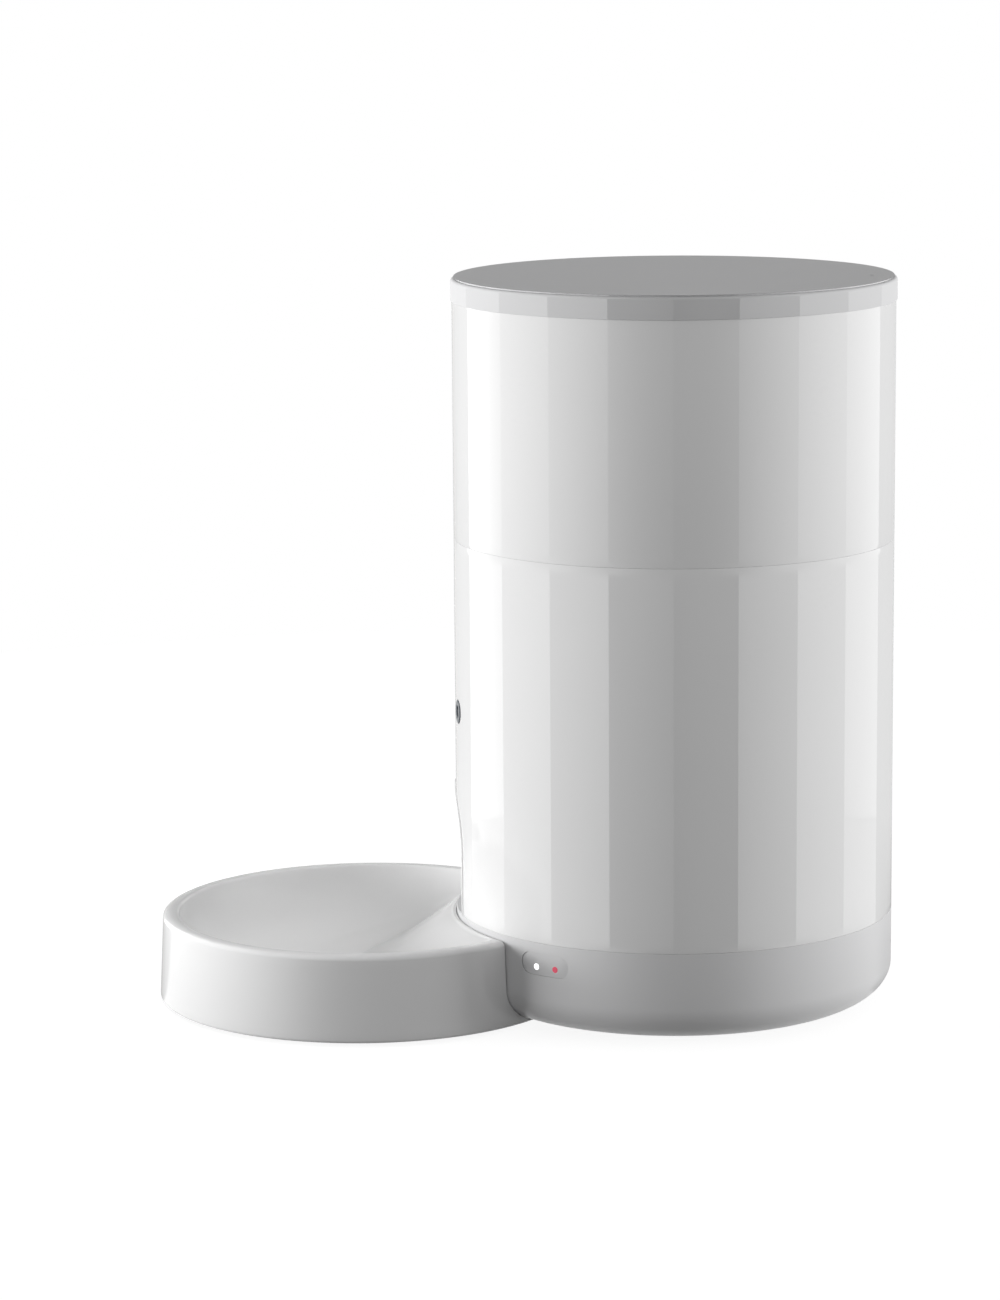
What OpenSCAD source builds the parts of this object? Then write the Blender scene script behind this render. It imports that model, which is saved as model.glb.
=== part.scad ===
// Round pet feeder with a camera: base, lower shell with an arched food outlet, lift-off food
// tank, lid, dispensing rotor with its gear drive, and a pull-off bowl.
// Millimetres, +Z up, front of the feeder towards -Y, origin on the body axis at floor level.

/* [Body] */
// Outside diameter of the body
body_d = 180; // [172:1:190]
// Height from the floor to the top of the lid
body_h = 300; // [285:1:330]
// Height of the seam between the base and the lower shell
base_top = 39.5; // [37:0.5:46]
// Height of the seam under the lift-off food tank
tank_seam = 193.5; // [180:0.5:205]
// Wall of the moulded shells
wall = 2.5; // [2:0.1:3]
// Thickness of the base floor
floor_t = 3; // [2.6:0.1:3.6]
// Width of the rounded lower corner of the base
corner_w = 21.5; // [17:0.5:23]
// Height of the rounded lower corner of the base
corner_h = 15.3; // [12:0.1:18]
// Height of the rubber feet below the base
foot_h = 1.5; // [1:0.1:3]
// Diameter of a rubber foot
foot_d = 12; // [9:0.5:13]

/* [Lid] */
// Height of the lid above the tank
lid_h = 9.5; // [8:0.1:14]
// How far the lid stands proud of the body
lid_proud = 0.5; // [0:0.1:1.5]
// Radius of the rounded upper edge of the lid
lid_edge = 2; // [1:0.1:3]
// Thickness of the lid plate
lid_t = 3; // [2:0.1:4]
// Depth of the plug ring that enters the tank
plug_depth = 10.5; // [8.5:0.5:16]
// Outside diameter of the desiccant box under the lid
desiccant_d = 56; // [40:1:70]
// Depth of the desiccant box
desiccant_h = 13; // [10:0.5:18]

/* [Bowl] */
// Outside diameter of the bowl at its foot
bowl_d = 172.8; // [164:0.2:176]
// How far the bowl draws in towards its rim, on the radius
bowl_draft = 1.6; // [0:0.1:3]
// Distance from the body axis to the bowl axis
bowl_reach = 127.7; // [120:0.1:135]
// Height of the bowl rim above the floor
bowl_h = 36.5; // [32:0.5:38]
// Width of the bowl rim
bowl_rim = 7; // [6.4:0.1:9]
// Width of the rim along the base
back_rim = 1.6; // [1.2:0.1:4]
// Run of the ramp from the base into the dish, for each millimetre of drop
ramp_run = 1.35; // [0.9:0.05:1.7]
// Wall of the bowl
bowl_wall = 2.2; // [1.8:0.1:2.4]
// Height of the dish floor above the table
dish_z = 8; // [6.5:0.5:12]
// Radius of the flat middle of the dish
dish_flat = 40; // [25:1:50]
// Gap between the bowl and the base
bowl_gap = 0.6; // [0.4:0.1:1.5]
// Diameter of a bowl pad
pad_d = 10; // [7:0.5:12]

/* [Outlet and camera] */
// Width of the outlet arch
arch_w = 50; // [46:0.5:54]
// Height of the crown of the arch
arch_top = 90; // [84:0.5:94]
// Wall of the chute
chute_wall = 1.6; // [1.2:0.1:2]
// Diameter of the camera window
lens_d = 9.4; // [7:0.1:11]
// Height of the camera window
lens_z = 123.5; // [116:0.5:126]
// Turn of the camera window from the front
lens_turn = 12.5; // [0:0.5:20]

/* [Indicator] */
// Width of the indicator panel
panel_w = 22.5; // [20:0.5:26]
// Height of the indicator panel
panel_h = 8.5; // [7:0.1:10]
// Height of the middle of the panel
panel_z = 30.8; // [28:0.1:32]
// Turn of the panel from the front
panel_turn = 54.8; // [45:0.2:65]
// Diameter of a light
light_d = 2.6; // [1.5:0.1:3]
// Distance between the two lights
light_pitch = 9.2; // [7:0.1:11]

/* [Rotor and drive] */
// Radius of the rotor well in the food tank
well_r = 57; // [54:0.5:60]
// Number of rotor paddles
paddles = 6; // [4:2:8]
// Height of the rotor paddles
paddle_h = 20; // [16:0.5:26]
// Thickness of the rotor paddles
paddle_t = 2.4; // [1.8:0.1:3]
// Radius of the rotor hub
hub_r = 11; // [10:0.5:13]
// Half angle of the outlet sector under the rotor
outlet_half = 22; // [16:1:24]
// Height of the underside of the deck that carries the drive
deck_z = 100; // [97:0.5:103]
// Thickness of the deck
deck_t = 3; // [2.4:0.1:4]
// Gear module
gear_module = 1; // [0.9:0.05:1.05]
// Teeth of the output gear
output_teeth = 40; // [36:1:42]
// Teeth of the small wheel of the link gear
link_small = 14; // [12:1:16]
// Teeth of the large wheel of the link gear
link_large = 36; // [32:1:38]
// Teeth of the motor pinion
pinion_teeth = 12; // [10:1:14]
// Face width of the gears
gear_w = 6; // [4:0.5:7]
// Diameter of the output shaft
shaft_d = 8; // [6:0.5:9]
// Width across the corners of the drive dog
dog_d = 14; // [12:0.5:15]
// Diameter of the motor can
motor_d = 24.4; // [20:0.2:28]
// Length of the motor can
motor_len = 30.8; // [24:0.2:33]

/* [Power] */
// Diameter of a backup cell
cell_d = 26.2; // [24:0.1:27]
// Length of a backup cell
cell_len = 50; // [44:0.5:52]
// Number of backup cells
cells = 3; // [2:1:3]
// Width of the power inlet mouth
inlet_w = 9; // [8:0.1:11]
// Height of the power inlet mouth
inlet_h = 3.2; // [2.6:0.1:4]
// Height of the power inlet and the reset button
rear_z = 26; // [24:0.5:29]
// Diameter of the reset button
button_d = 6; // [4:0.5:8]
// Travel of the reset button
button_travel = 0.8; // [0.5:0.1:1.2]

/* [Fits] */
// Gap between pieces that slide apart
slide_gap = 0.3; // [0.2:0.05:0.5]
// Gap between pieces that stay together
snug = 0.15; // [0.1:0.05:0.25]
// Radial clearance of a turning shaft
run = 0.05; // [0.02:0.01:0.08]
// Play between gear teeth
backlash = 0.25; // [0.15:0.05:0.4]

/* [Hidden] */
$fn = 96;

white = [0.95, 0.95, 0.95];
grey = [0.82, 0.82, 0.83];
dark = [0.25, 0.26, 0.28];
board_green = [0.15, 0.4, 0.25];
natural = [0.9, 0.9, 0.86];

// Overlap that fuses two shapes of one piece, and overshoot of a cut
weld = 0.2;
over = 1;

// Radii and levels of the shells
body_r = body_d / 2;
inner_r = body_r - wall;
floor_top = foot_h + floor_t;
lid_r = body_r + lid_proud;
lid_z = body_h - lid_h;
deck_top = deck_z + deck_t;
lip_h = 4;
lip_root = 2;
lip_r = inner_r - snug;
lip_in = lip_r - wall;
ledge_w = 3;
ledge_t = 3;
flat_r = body_r - corner_w;

// Screws that hold the base to the lower shell
screw_r = flat_r - 2.5;
screw_turns = [60, 120, 240, 300];
screw_d = 3;
screw_head_d = 6;
boss_r = 4.5;
boss_top = floor_top + 9.5;
head_depth = 4;
post_top = deck_z - 25;
rib_z = base_top + lip_h + 2;
rib_t = 2;
thread_len = 16;

// Feet
foot_sink = 0.6;
foot_x = 40;
foot_y = 46;

// Outlet arch
arch_r = arch_w / 2;
arch_c = arch_top - arch_r;

// Gear sizes
pressure_angle = 25;
addendum = 0.8 * gear_module;
dedendum = 1.1 * gear_module;
link_y = gear_module * (output_teeth + link_small) / 2;
pinion_y = link_y + gear_module * (link_large + pinion_teeth) / 2;
output_tip = gear_module * output_teeth / 2 + addendum;
pinion_tip = gear_module * pinion_teeth / 2 + addendum;
gear_room = 1.2;
tier_gap = 1.5;
output_z = deck_z - tier_gap - gear_w;
large_z = output_z - tier_gap - gear_w;

// Gearbox case
case_wall = 1.6;
case_floor_t = 2.5;
case_floor = large_z - tier_gap;
case_z = case_floor - case_floor_t;
case_in_r = output_tip + gear_room;
case_r = case_in_r + case_wall;
case_end = pinion_y + pinion_tip + gear_room - case_in_r;
link_pin_d = 3;
pivot_d = 4;
motor_shaft_d = 2;
motor_boss_d = 7;
motor_boss_h = 1.5;
bush_wall = 2;

// Chute
chute_r = arch_r - snug - 0.15;
chute_back = case_r + 0.5;
chute_front_r = inner_r - snug;
outlet_in = chute_back + chute_wall + 2.4;
outlet_out = well_r - 4;
riser_front = outlet_out + 2 + chute_wall;
slope_top = deck_z - 8;
slope_foot = base_top + 0.5;
slope_run = 22;
slope_y = riser_front + slope_run;
sensor_w = 4;
sensor_len = 6;
sensor_h = 8;
sensor_set = 3;

// Food tank
bin_wall = 2;
bin_z = deck_top + slide_gap;
bin_floor_t = 2.5;
bin_floor = bin_z + bin_floor_t;
bin_r = inner_r - snug;
bin_in = bin_r - bin_wall;
bin_rim_drop = 2.5;
tank_ledge = tank_seam + 4.5;
spigot_h = 7.5;
spigot_r = inner_r - slide_gap;
dog_hole_r = dog_d / 2 + 2;

// Rotor
rotor_z = bin_floor + 0.4;
paddle_top = rotor_z + paddle_h;
tip_gap = 0.5;
tip_len = 2.5;
tip_r = well_r - tip_gap;
wiper_h = 2;
baffle_z = paddle_top + 0.4 + wiper_h;
baffle_t = 2;
baffle_half = 36;
hub_top = baffle_z + baffle_t + 1;
well_top = hub_top + 8;
cone_top = tank_ledge + 8;
dog_top = rotor_z + paddle_h * 0.6;

// Camera
camera_turn = lens_turn - 90;
window_t = 1.8;
window_proud = 0.4;
window_back = body_r + window_proud - window_t;
ring_t = 3;
ring_wall = 2;
ring_front = inner_r - 0.8;
ring_back = ring_front - ring_t;
barrel_d = 8;
barrel_len = 8;
barrel_front = window_back - 0.1;
camera_board_w = 18;
camera_board_t = 1.6;
camera_board_x = barrel_front - barrel_len;
bracket_t = 2.2;
bracket_x = camera_board_x - camera_board_t;
bracket_room = 7.9;
bracket_foot = bracket_x - well_r - bin_wall - bracket_room;

// Indicator
indicator_turn = panel_turn - 90;
panel_lip = 1.8;
panel_in = inner_r - 0.1;
light_drop = 1.2;
light_shift = 0.7;
light_proud = 0.2;
light_len = 9;
light_back = body_r + light_proud - light_len;
small_board_t = 1.6;
indicator_board_w = panel_w + 3;
indicator_board_h = panel_h + 3.5;

// Battery bay
bay_play = 1;
box_wall = 1.6;
bay_w = cells * cell_d + bay_play;
contact_t = 0.8;
bay_len = cell_len + 2 * contact_t + bay_play;
bay_y = 1;
cell_z = floor_top + 0.4 + cell_d / 2;
box_top = cell_z + cell_d / 2 + 0.3 + box_wall;
hinge_r = 1.2;
hinge_pin_d = 1.8;
hinge_z = foot_h + floor_t / 2;
hinge_y = bay_y + bay_len / 2 - 2.2;
door_front = bay_y - bay_len / 2 + 0.4;
door_w = bay_w - 0.8;
door_t = 2.4;
pin_len = 2;
door_pad_d = 16;

// Main board on its standoffs
main_w = 50;
main_len = 38;
main_room = 4.1;
main_y = bay_y - bay_len / 2 - box_wall - main_room - main_len / 2;
main_z = 17;
board_t = 1.6;
standoff_r = 2.5;

// Rear board with the inlet, the button switch and the microphone
rear_y = body_r - 13;
rear_board_x0 = -28;
rear_board_x1 = 26;
rear_board_h = 14;
inlet_y1 = inner_r - 0.4;
inlet_wall = 1.2;
inlet_depth = 7;
button_x = -18;
button_flange = 1;
button_back = rear_y + 5;
button_front = sqrt(body_r * body_r - button_x * button_x) + 0.4;
switch_w = 6;
switch_gap = button_travel + 0.1;
mic_x = 12;
mic_d = 6;
mic_hole_d = 1.2;

// Speaker over its grille in the base floor
speaker_y = 50;
speaker_d = 24;
speaker_h = 8;
grille_d = 1.8;

// Lid
skirt_w = 4;
plug_r = bin_in - slide_gap - 1.3;
plug_wall = 2;
plug_z = lid_z - plug_depth;
seal_h = 3.5;
seal_z = plug_z + 3;
lid_under = body_h - lid_t;
mark_len = 9;
mark_w = 2.6;
mark_depth = 0.4;
mark_r = lid_r - 10.3;
mark_turn = 84;
cover_t = 2;
desiccant_r = desiccant_d / 2;
desiccant_wall = 2;
desiccant_z = lid_under - desiccant_h;

// Bowl
bowl_r = bowl_d / 2;
bowl_top_r = bowl_r - bowl_draft;
rim_in = bowl_top_r - bowl_rim;
rim_round = 3.2;
rim_fillet = 2;
foot_round = 1.5;
tongue_w = 36;
tongue_z = foot_h + 6;
tongue_h = 4;
tongue_end = body_r - 10;
tongue_play = 0.5;
pad_turns = [210, 270, 330];
pad_inset = 9;
pad_r = bowl_r - pad_d / 2 - bowl_wall - pad_inset;
pad_boss_r = pad_d / 2 + 0.8;

// Shared shapes

// Points of a quarter ellipse that turns from pointing sideways to pointing up
function quarter(cx, cz, rx, rz, steps = 12, last = 90) =
    [for (i = [0 : steps]) let (a = i * last / steps) [cx + rx * sin(a), cz - rz * cos(a)]];

// Points of a round edge between two directions
function edge(cx, cz, r, from, to, steps = 6) =
    [for (i = [0 : steps]) let (a = from + (to - from) * i / steps) [cx + r * cos(a), cz + r * sin(a)]];

function involute(a) = tan(a) - a * PI / 180;

// Half the angle of a tooth at radius r
function tooth_half(teeth, r) =
    let (pitch_r = gear_module * teeth / 2)
    let (base_r = pitch_r * cos(pressure_angle))
    let (at_pitch = (gear_module * PI / 2 - backlash / 2) / pitch_r / 2)
    let (spread = r <= base_r ? 0 : involute(acos(base_r / r)))
    (at_pitch + involute(pressure_angle) - spread) * 180 / PI;

// Radii at which a tooth flank is drawn, from root to tip
function flank_radii(teeth) =
    let (pitch_r = gear_module * teeth / 2)
    let (root = pitch_r - dedendum)
    let (start = max(root, pitch_r * cos(pressure_angle)))
    let (tip = pitch_r + addendum)
    concat(root < start ? [root] : [], [for (i = [0 : 3]) start + (tip - start) * i / 3]);

function tooth_points(teeth, turn) =
    let (radii = flank_radii(teeth))
    let (n = len(radii))
    concat(
        [for (i = [0 : n - 1]) let (r = radii[i], a = turn - tooth_half(teeth, r)) [r * cos(a), r * sin(a)]],
        [for (i = [n - 1 : -1 : 0]) let (r = radii[i], a = turn + tooth_half(teeth, r)) [r * cos(a), r * sin(a)]]
    );

module gear(teeth, turn = 0) {
    points = [for (k = [0 : teeth - 1]) each tooth_points(teeth, turn + k * 360 / teeth)];
    linear_extrude(gear_w) polygon(points);
}

module block(x0, x1, y0, y1, z0, z1) {
    translate([x0, y0, z0]) cube([x1 - x0, y1 - y0, z1 - z0]);
}

module disc(r, z0, z1) {
    translate([0, 0, z0]) cylinder(h = z1 - z0, r = r);
}

module ring(r_out, r_in, z0, z1) {
    difference() {
        disc(r_out, z0, z1);
        disc(r_in, z0 - over, z1 + over);
    }
}

// Round bar along the local X axis
module bar_x(r, x0, x1) {
    translate([x0, 0, 0]) rotate([0, 90, 0]) cylinder(h = x1 - x0, r = r);
}

// Round bar along +Y
module bar_y(r, y0, y1) {
    translate([0, y0, 0]) rotate([-90, 0, 0]) cylinder(h = y1 - y0, r = r);
}

// Flat shape with round ends, w wide and h high
module pill(w, h) {
    square([w - h, h], center = true);
    for (side = [-1, 1]) translate([side * (w - h) / 2, 0]) circle(d = h);
}

// Pill that runs along the local X axis, wide along Y
module pill_x(w, h, x0, x1) {
    translate([x0, 0, 0]) rotate([90, 0, 90]) linear_extrude(x1 - x0) pill(w, h);
}

// Wedge about the front of the body
module front_wedge(half, reach, z0, z1) {
    translate([0, 0, z0]) linear_extrude(z1 - z0) polygon([
        [0, 0],
        [-reach * tan(half), -reach],
        [reach * tan(half), -reach]
    ]);
}

module front_sector(r_in, r_out, half, z0, z1) {
    intersection() {
        ring(r_out, r_in, z0, z1);
        front_wedge(half, 2 * r_out, z0 - over, z1 + over);
    }
}

module at_screws() {
    for (a = screw_turns) rotate([0, 0, a]) translate([screw_r, 0, 0]) children();
}

module at_camera() {
    rotate([0, 0, camera_turn]) translate([0, 0, lens_z]) children();
}

module at_indicator() {
    rotate([0, 0, indicator_turn]) translate([0, 0, panel_z]) children();
}

module at_light(side) {
    at_indicator() translate([0, light_shift + side * light_pitch / 2, -light_drop]) children();
}

module at_feet() {
    for (x = [-foot_x, foot_x]) for (y = [-foot_y, foot_y]) translate([x, y, 0]) children();
}

module at_bowl() {
    translate([0, -bowl_reach, 0]) children();
}

// Outside of the base, grown by extra all round and carried up to top
module base_solid(extra, top) {
    rotate_extrude() polygon(concat(
        [[0, foot_h - extra]],
        quarter(flat_r, foot_h + corner_h, corner_w + extra, corner_h + extra),
        [[body_r + extra, top], [0, top]]
    ));
}

// Space inside the base
module base_hollow() {
    rotate_extrude() polygon(concat(
        [[0, floor_top]],
        quarter(flat_r, foot_h + corner_h, corner_w - wall, corner_h - floor_t),
        [[inner_r, base_top + over], [0, base_top + over]]
    ));
}

// Arch outline as seen from the front, with its foot at height foot
module arch_outline(r, foot) {
    translate([0, arch_c]) circle(r = r);
    translate([-r, foot]) square([2 * r, arch_c - foot]);
}

// Arch carried from the axis towards the front
module arch_prism(r, foot, y_near, y_far) {
    translate([0, -y_near, 0]) rotate([90, 0, 0]) linear_extrude(y_far - y_near) arch_outline(r, foot);
}

// Base

module base_ribs() {
    for (side = [-1, 1]) at_indicator() {
        y = side * (indicator_board_w / 2 + snug + 1);
        block(light_back - small_board_t - 2, inner_r + weld, y - 1, y + 1, -8, 6);
    }
    for (x = [rear_board_x0 - 2 - snug, rear_board_x1 + snug]) {
        block(x, x + 2, rear_y - 5, rear_y + 2, floor_top - weld, rear_z + rear_board_h / 2);
    }
    for (x = [-1, 1]) for (y = [-1, 1]) {
        translate([x * (main_w / 2 - 4), main_y + y * (main_len / 2 - 4), 0])
            disc(standoff_r, floor_top - weld, main_z);
    }
    translate([0, speaker_y, 0]) ring(speaker_d / 2 + snug + 1.5, speaker_d / 2 + snug, floor_top - weld, floor_top + 3);
}

module base_cuts() {
    // Battery bay and hinge pin holes
    block(-bay_w / 2, bay_w / 2, bay_y - bay_len / 2, bay_y + bay_len / 2, -over, floor_top + over);
    translate([0, hinge_y, hinge_z]) bar_x(hinge_pin_d / 2 + run, -bay_w / 2 - pin_len, bay_w / 2 + pin_len);
    // Screw holes with sunk heads
    at_screws() {
        disc(screw_head_d / 2 + slide_gap, -over, foot_h + head_depth);
        disc(screw_d / 2 + slide_gap, -over, boss_top + over);
    }
    // Foot seats
    at_feet() disc(foot_d / 2 + snug, -over, foot_h + foot_sink);
    // Speaker grille
    for (turn = [0 : 45 : 315]) rotate_grille(turn) disc(grille_d / 2, -over, floor_top + over);
    translate([0, speaker_y, 0]) disc(grille_d / 2, -over, floor_top + over);
    // Inlet, button and microphone holes in the rear wall
    translate([0, 0, rear_z]) rotate([0, 0, 90]) pill_x(inlet_w + 2, inlet_h + 2, inner_r - 4, body_r + over);
    translate([button_x, 0, rear_z]) bar_y(button_d / 2 + slide_gap, inner_r - 8, body_r + over);
    translate([mic_x, 0, rear_z]) bar_y(mic_hole_d / 2, inner_r - 8, body_r + over);
    // Indicator window
    at_indicator() pill_x(panel_w + 2 * slide_gap, panel_h + 2 * slide_gap, inner_r - 4, body_r + over);
    // Slot for the bowl tongue
    block(
        -tongue_w / 2 - tongue_play, tongue_w / 2 + tongue_play,
        -body_r - over, -tongue_end + 2,
        tongue_z - tongue_play, tongue_z + tongue_h + tongue_play
    );
    // Way for the chute over the front of the lip
    block(-arch_r - 2, arch_r + 2, -body_r, -body_r / 2, base_top, base_top + lip_h + over);
}

module rotate_grille(turn) {
    translate([0, speaker_y, 0]) rotate([0, 0, turn]) translate([speaker_d / 2 - 5, 0, 0]) children();
}

module base_tub() {
    color(grey) difference() {
        union() {
            difference() {
                base_solid(0, base_top);
                base_hollow();
            }
            ring(inner_r + weld, lip_in, base_top - lip_root, base_top);
            ring(lip_r, lip_in, base_top - lip_root, base_top + lip_h);
            at_screws() disc(boss_r, floor_top - weld, boss_top);
            base_ribs();
        }
        base_cuts();
    }
}

module feet() {
    color(dark) at_feet() disc(foot_d / 2, 0, foot_h + foot_sink);
}

module base_screws() {
    color("silver") at_screws() {
        disc(screw_head_d / 2, foot_h + head_depth - 2.4, foot_h + head_depth);
        disc(screw_d / 2 - snug, foot_h + head_depth - weld, boss_top + thread_len - 2);
    }
}

// Lower shell and what it carries

module lower_shell() {
    color(white) difference() {
        union() {
            ring(body_r, inner_r, base_top, tank_seam);
            ring(inner_r + weld, inner_r - ledge_w, deck_z - ledge_t, deck_z);
            at_screws() {
                disc(boss_r, boss_top, post_top);
                block(boss_r - 1, inner_r - screw_r + weld, -rib_t / 2, rib_t / 2, rib_z, post_top);
            }
        }
        at_screws() disc(screw_d / 2, boss_top - over, boss_top + thread_len);
        arch_prism(arch_r, base_top - over, body_r / 2, body_r + over);
        at_camera() bar_x(lens_d / 2 + slide_gap, inner_r - 4, body_r + over);
    }
}

module deck() {
    color(natural) difference() {
        disc(inner_r - snug, deck_z, deck_top);
        disc(shaft_d / 2 + run + bush_wall + run, deck_z - over, deck_top + over);
        front_sector(outlet_in, outlet_out, outlet_half, deck_z - over, deck_top + over);
    }
}

// Region above the sloped chute floor, raised by lift
module above_slope(lift) {
    reach = body_r + over;
    rotate([90, 0, -90]) translate([0, 0, -body_r]) linear_extrude(body_d) polygon([
        [chute_back - over, slope_top + over * (slope_top - slope_foot) / (slope_y - chute_back) + lift],
        [slope_y, slope_foot + lift],
        [reach, slope_foot + lift],
        [reach, deck_z + over],
        [chute_back - over, deck_z + over]
    ]);
}

// Riser under the deck joined to the arched spout, drawn in by inset
module chute_form(inset, top) {
    r = chute_r - inset;
    block(-r, r, -riser_front + inset, -chute_back - inset, slope_foot, top);
    arch_prism(r, slope_foot - over, chute_back + inset, body_r + over);
}

module chute() {
    color(natural) difference() {
        intersection() {
            chute_form(0, deck_z);
            above_slope(0);
            disc(chute_front_r, 0, deck_z);
        }
        intersection() {
            chute_form(chute_wall, deck_z + over);
            above_slope(chute_wall * 1.4);
        }
    }
}

module chute_sensors() {
    color(dark) for (side = [-1, 1]) {
        x = side * (chute_r + sensor_w / 2);
        y = -riser_front - sensor_set;
        block(x - sensor_w / 2, x + sensor_w / 2, y - sensor_len, y, arch_c - sensor_h, arch_c);
    }
}

// Gear drive

module case_outline(r) {
    circle(r = r);
    translate([0, case_end]) circle(r = r);
    translate([-r, 0]) square([2 * r, case_end]);
}

module gearbox_case() {
    color(dark) difference() {
        translate([0, 0, case_z]) linear_extrude(deck_z - case_z) case_outline(case_r);
        translate([0, 0, case_floor]) linear_extrude(deck_z - case_floor + over) case_outline(case_in_r);
        disc(pivot_d / 2 + run, case_z - over, case_floor + over);
        translate([0, link_y, 0]) disc(link_pin_d / 2, case_z - over, case_floor + over);
        translate([0, pinion_y, 0]) disc(motor_boss_d / 2 + snug, case_z - over, case_floor + over);
    }
}

module motor() {
    color("silver") translate([0, pinion_y, 0]) difference() {
        union() {
            disc(motor_d / 2, case_z - motor_len, case_z);
            disc(motor_boss_d / 2, case_z - weld, case_z + motor_boss_h);
            disc(motor_boss_d / 2 + 1, case_z - motor_len - 1.5, case_z - motor_len + weld);
        }
        disc(motor_shaft_d / 2 + run, case_z - 8, case_z + motor_boss_h + over);
    }
}

module output_bush() {
    color("goldenrod") ring(shaft_d / 2 + run + bush_wall, shaft_d / 2 + run, deck_z, deck_top);
}

module link_pin() {
    color("silver") translate([0, link_y, 0]) disc(link_pin_d / 2, case_z, deck_z - snug);
}

// Output gear with its shaft, lower pivot and the six-sided drive dog for the rotor
module output_gear() {
    color("ivory") {
        translate([0, 0, output_z]) gear(output_teeth);
        disc(pivot_d / 2, case_z + 0.3, case_floor + over);
        disc(shaft_d / 2, case_floor + snug, deck_top + over);
        translate([0, 0, deck_top + slide_gap]) cylinder(h = dog_top - deck_top - slide_gap, d = dog_d, $fn = 6);
    }
}

module link_gear() {
    color("ivory") translate([0, link_y, 0]) difference() {
        union() {
            translate([0, 0, output_z]) gear(link_small, 180 / link_small - 90);
            disc(gear_module * link_small / 2 - dedendum, large_z, output_z + weld);
            translate([0, 0, large_z]) gear(link_large);
            disc(link_pin_d, case_floor + snug, large_z + weld);
        }
        disc(link_pin_d / 2 + run, case_floor - over, deck_z + over);
    }
}

module motor_pinion() {
    color("goldenrod") translate([0, pinion_y, 0]) {
        translate([0, 0, large_z]) gear(pinion_teeth, 180 / pinion_teeth - 90);
        disc(motor_shaft_d / 2, case_z - 7, large_z + weld);
    }
}

// Camera

module camera_window() {
    color(dark) at_camera() bar_x(lens_d / 2, window_back, body_r + window_proud);
}

module camera_ring() {
    color(dark) at_camera() difference() {
        bar_x(lens_d / 2 + ring_wall, ring_back, ring_front);
        bar_x(barrel_d / 2 + snug, ring_back - over, ring_front + over);
    }
}

module camera_barrel() {
    color("black") at_camera() {
        bar_x(barrel_d / 2, camera_board_x, barrel_front);
        block(camera_board_x, camera_board_x + 3, -6, 6, -6, 6);
    }
}

module camera_board() {
    half = camera_board_w / 2;
    color(board_green) at_camera() block(bracket_x, camera_board_x, -half, half, -half, half);
}

module camera_bracket() {
    half = camera_board_w / 2;
    foot = deck_top - lens_z;
    color(natural) at_camera() {
        block(bracket_x - bracket_t, bracket_x, -half, half, foot, half);
        block(bracket_x - bracket_foot, bracket_x, -half, half, foot, foot + bracket_t);
    }
}

// Indicator

// Curved plate between two radii, inside the pill outline
module curved_pill(w, h, r_in, r_out) {
    intersection() {
        translate([0, 0, -panel_z]) ring(r_out, r_in, panel_z - h, panel_z + h);
        pill_x(w, h, r_in - 2 * wall, r_out + over);
    }
}

module indicator_panel() {
    color(grey) difference() {
        at_indicator() {
            curved_pill(panel_w, panel_h, panel_in - weld, body_r);
            curved_pill(panel_w + 3, panel_h + 3, panel_in - panel_lip, panel_in);
        }
        for (side = [-1, 1]) at_light(side) bar_x(light_d / 2 + run, light_back, body_r + over);
    }
}

module white_light() {
    color("white") at_light(-1) bar_x(light_d / 2, light_back, body_r + light_proud);
}

module red_light() {
    color("red") at_light(1) bar_x(light_d / 2, light_back, body_r + light_proud);
}

module indicator_board() {
    w = indicator_board_w / 2;
    h = indicator_board_h / 2;
    color(board_green) at_indicator() block(light_back - small_board_t, light_back, -w, w, -h, h);
}

// Electronics in the base

module main_board() {
    w = main_w / 2;
    l = main_len / 2;
    color(board_green) translate([0, main_y, 0]) {
        block(-w, w, -l, l, main_z, main_z + board_t);
        block(-8, 8, -6, 10, main_z + board_t - weld, main_z + board_t + 2.6);
        block(11, 21, -14, -2, main_z + board_t - weld, main_z + board_t + 3);
        for (x = [-18, -12]) translate([x, -12, 0]) disc(2.5, main_z + board_t - weld, main_z + board_t + 8);
    }
}

module rear_board() {
    h = rear_board_h / 2;
    color(board_green) block(rear_board_x0, rear_board_x1, rear_y - board_t, rear_y, rear_z - h, rear_z + h);
}

module power_inlet() {
    w = inlet_w / 2;
    h = inlet_h / 2;
    color("silver") translate([0, 0, rear_z]) {
        difference() {
            rotate([0, 0, 90]) pill_x(inlet_w + 2 * inlet_wall - 1, inlet_h + 2 * inlet_wall - 1, rear_y, inlet_y1);
            rotate([0, 0, 90]) pill_x(inlet_w, inlet_h, inlet_y1 - inlet_depth, inlet_y1 + over);
        }
        block(-w + 1.2, w - 1.2, inlet_y1 - inlet_depth - weld, inlet_y1 - 1, -h / 4, h / 4);
    }
}

module button_switch() {
    half = switch_w / 2;
    color(dark) translate([button_x, 0, rear_z]) {
        block(-half, half, rear_y, button_back - switch_gap - 0.8, -half, half);
        bar_y(1.5, button_back - switch_gap - 0.8 - weld, button_back - switch_gap);
    }
}

module reset_button() {
    color(grey) translate([button_x, 0, rear_z]) {
        bar_y(button_d / 2, button_back, button_front);
        bar_y(button_d / 2 + 1, button_back, button_back + button_flange);
    }
}

module microphone() {
    mic_far = abs(mic_x) + mic_d / 2;
    y1 = sqrt(inner_r * inner_r - mic_far * mic_far) - slide_gap;
    color(dark) translate([mic_x, 0, rear_z]) bar_y(mic_d / 2, rear_y, y1);
}

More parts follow.
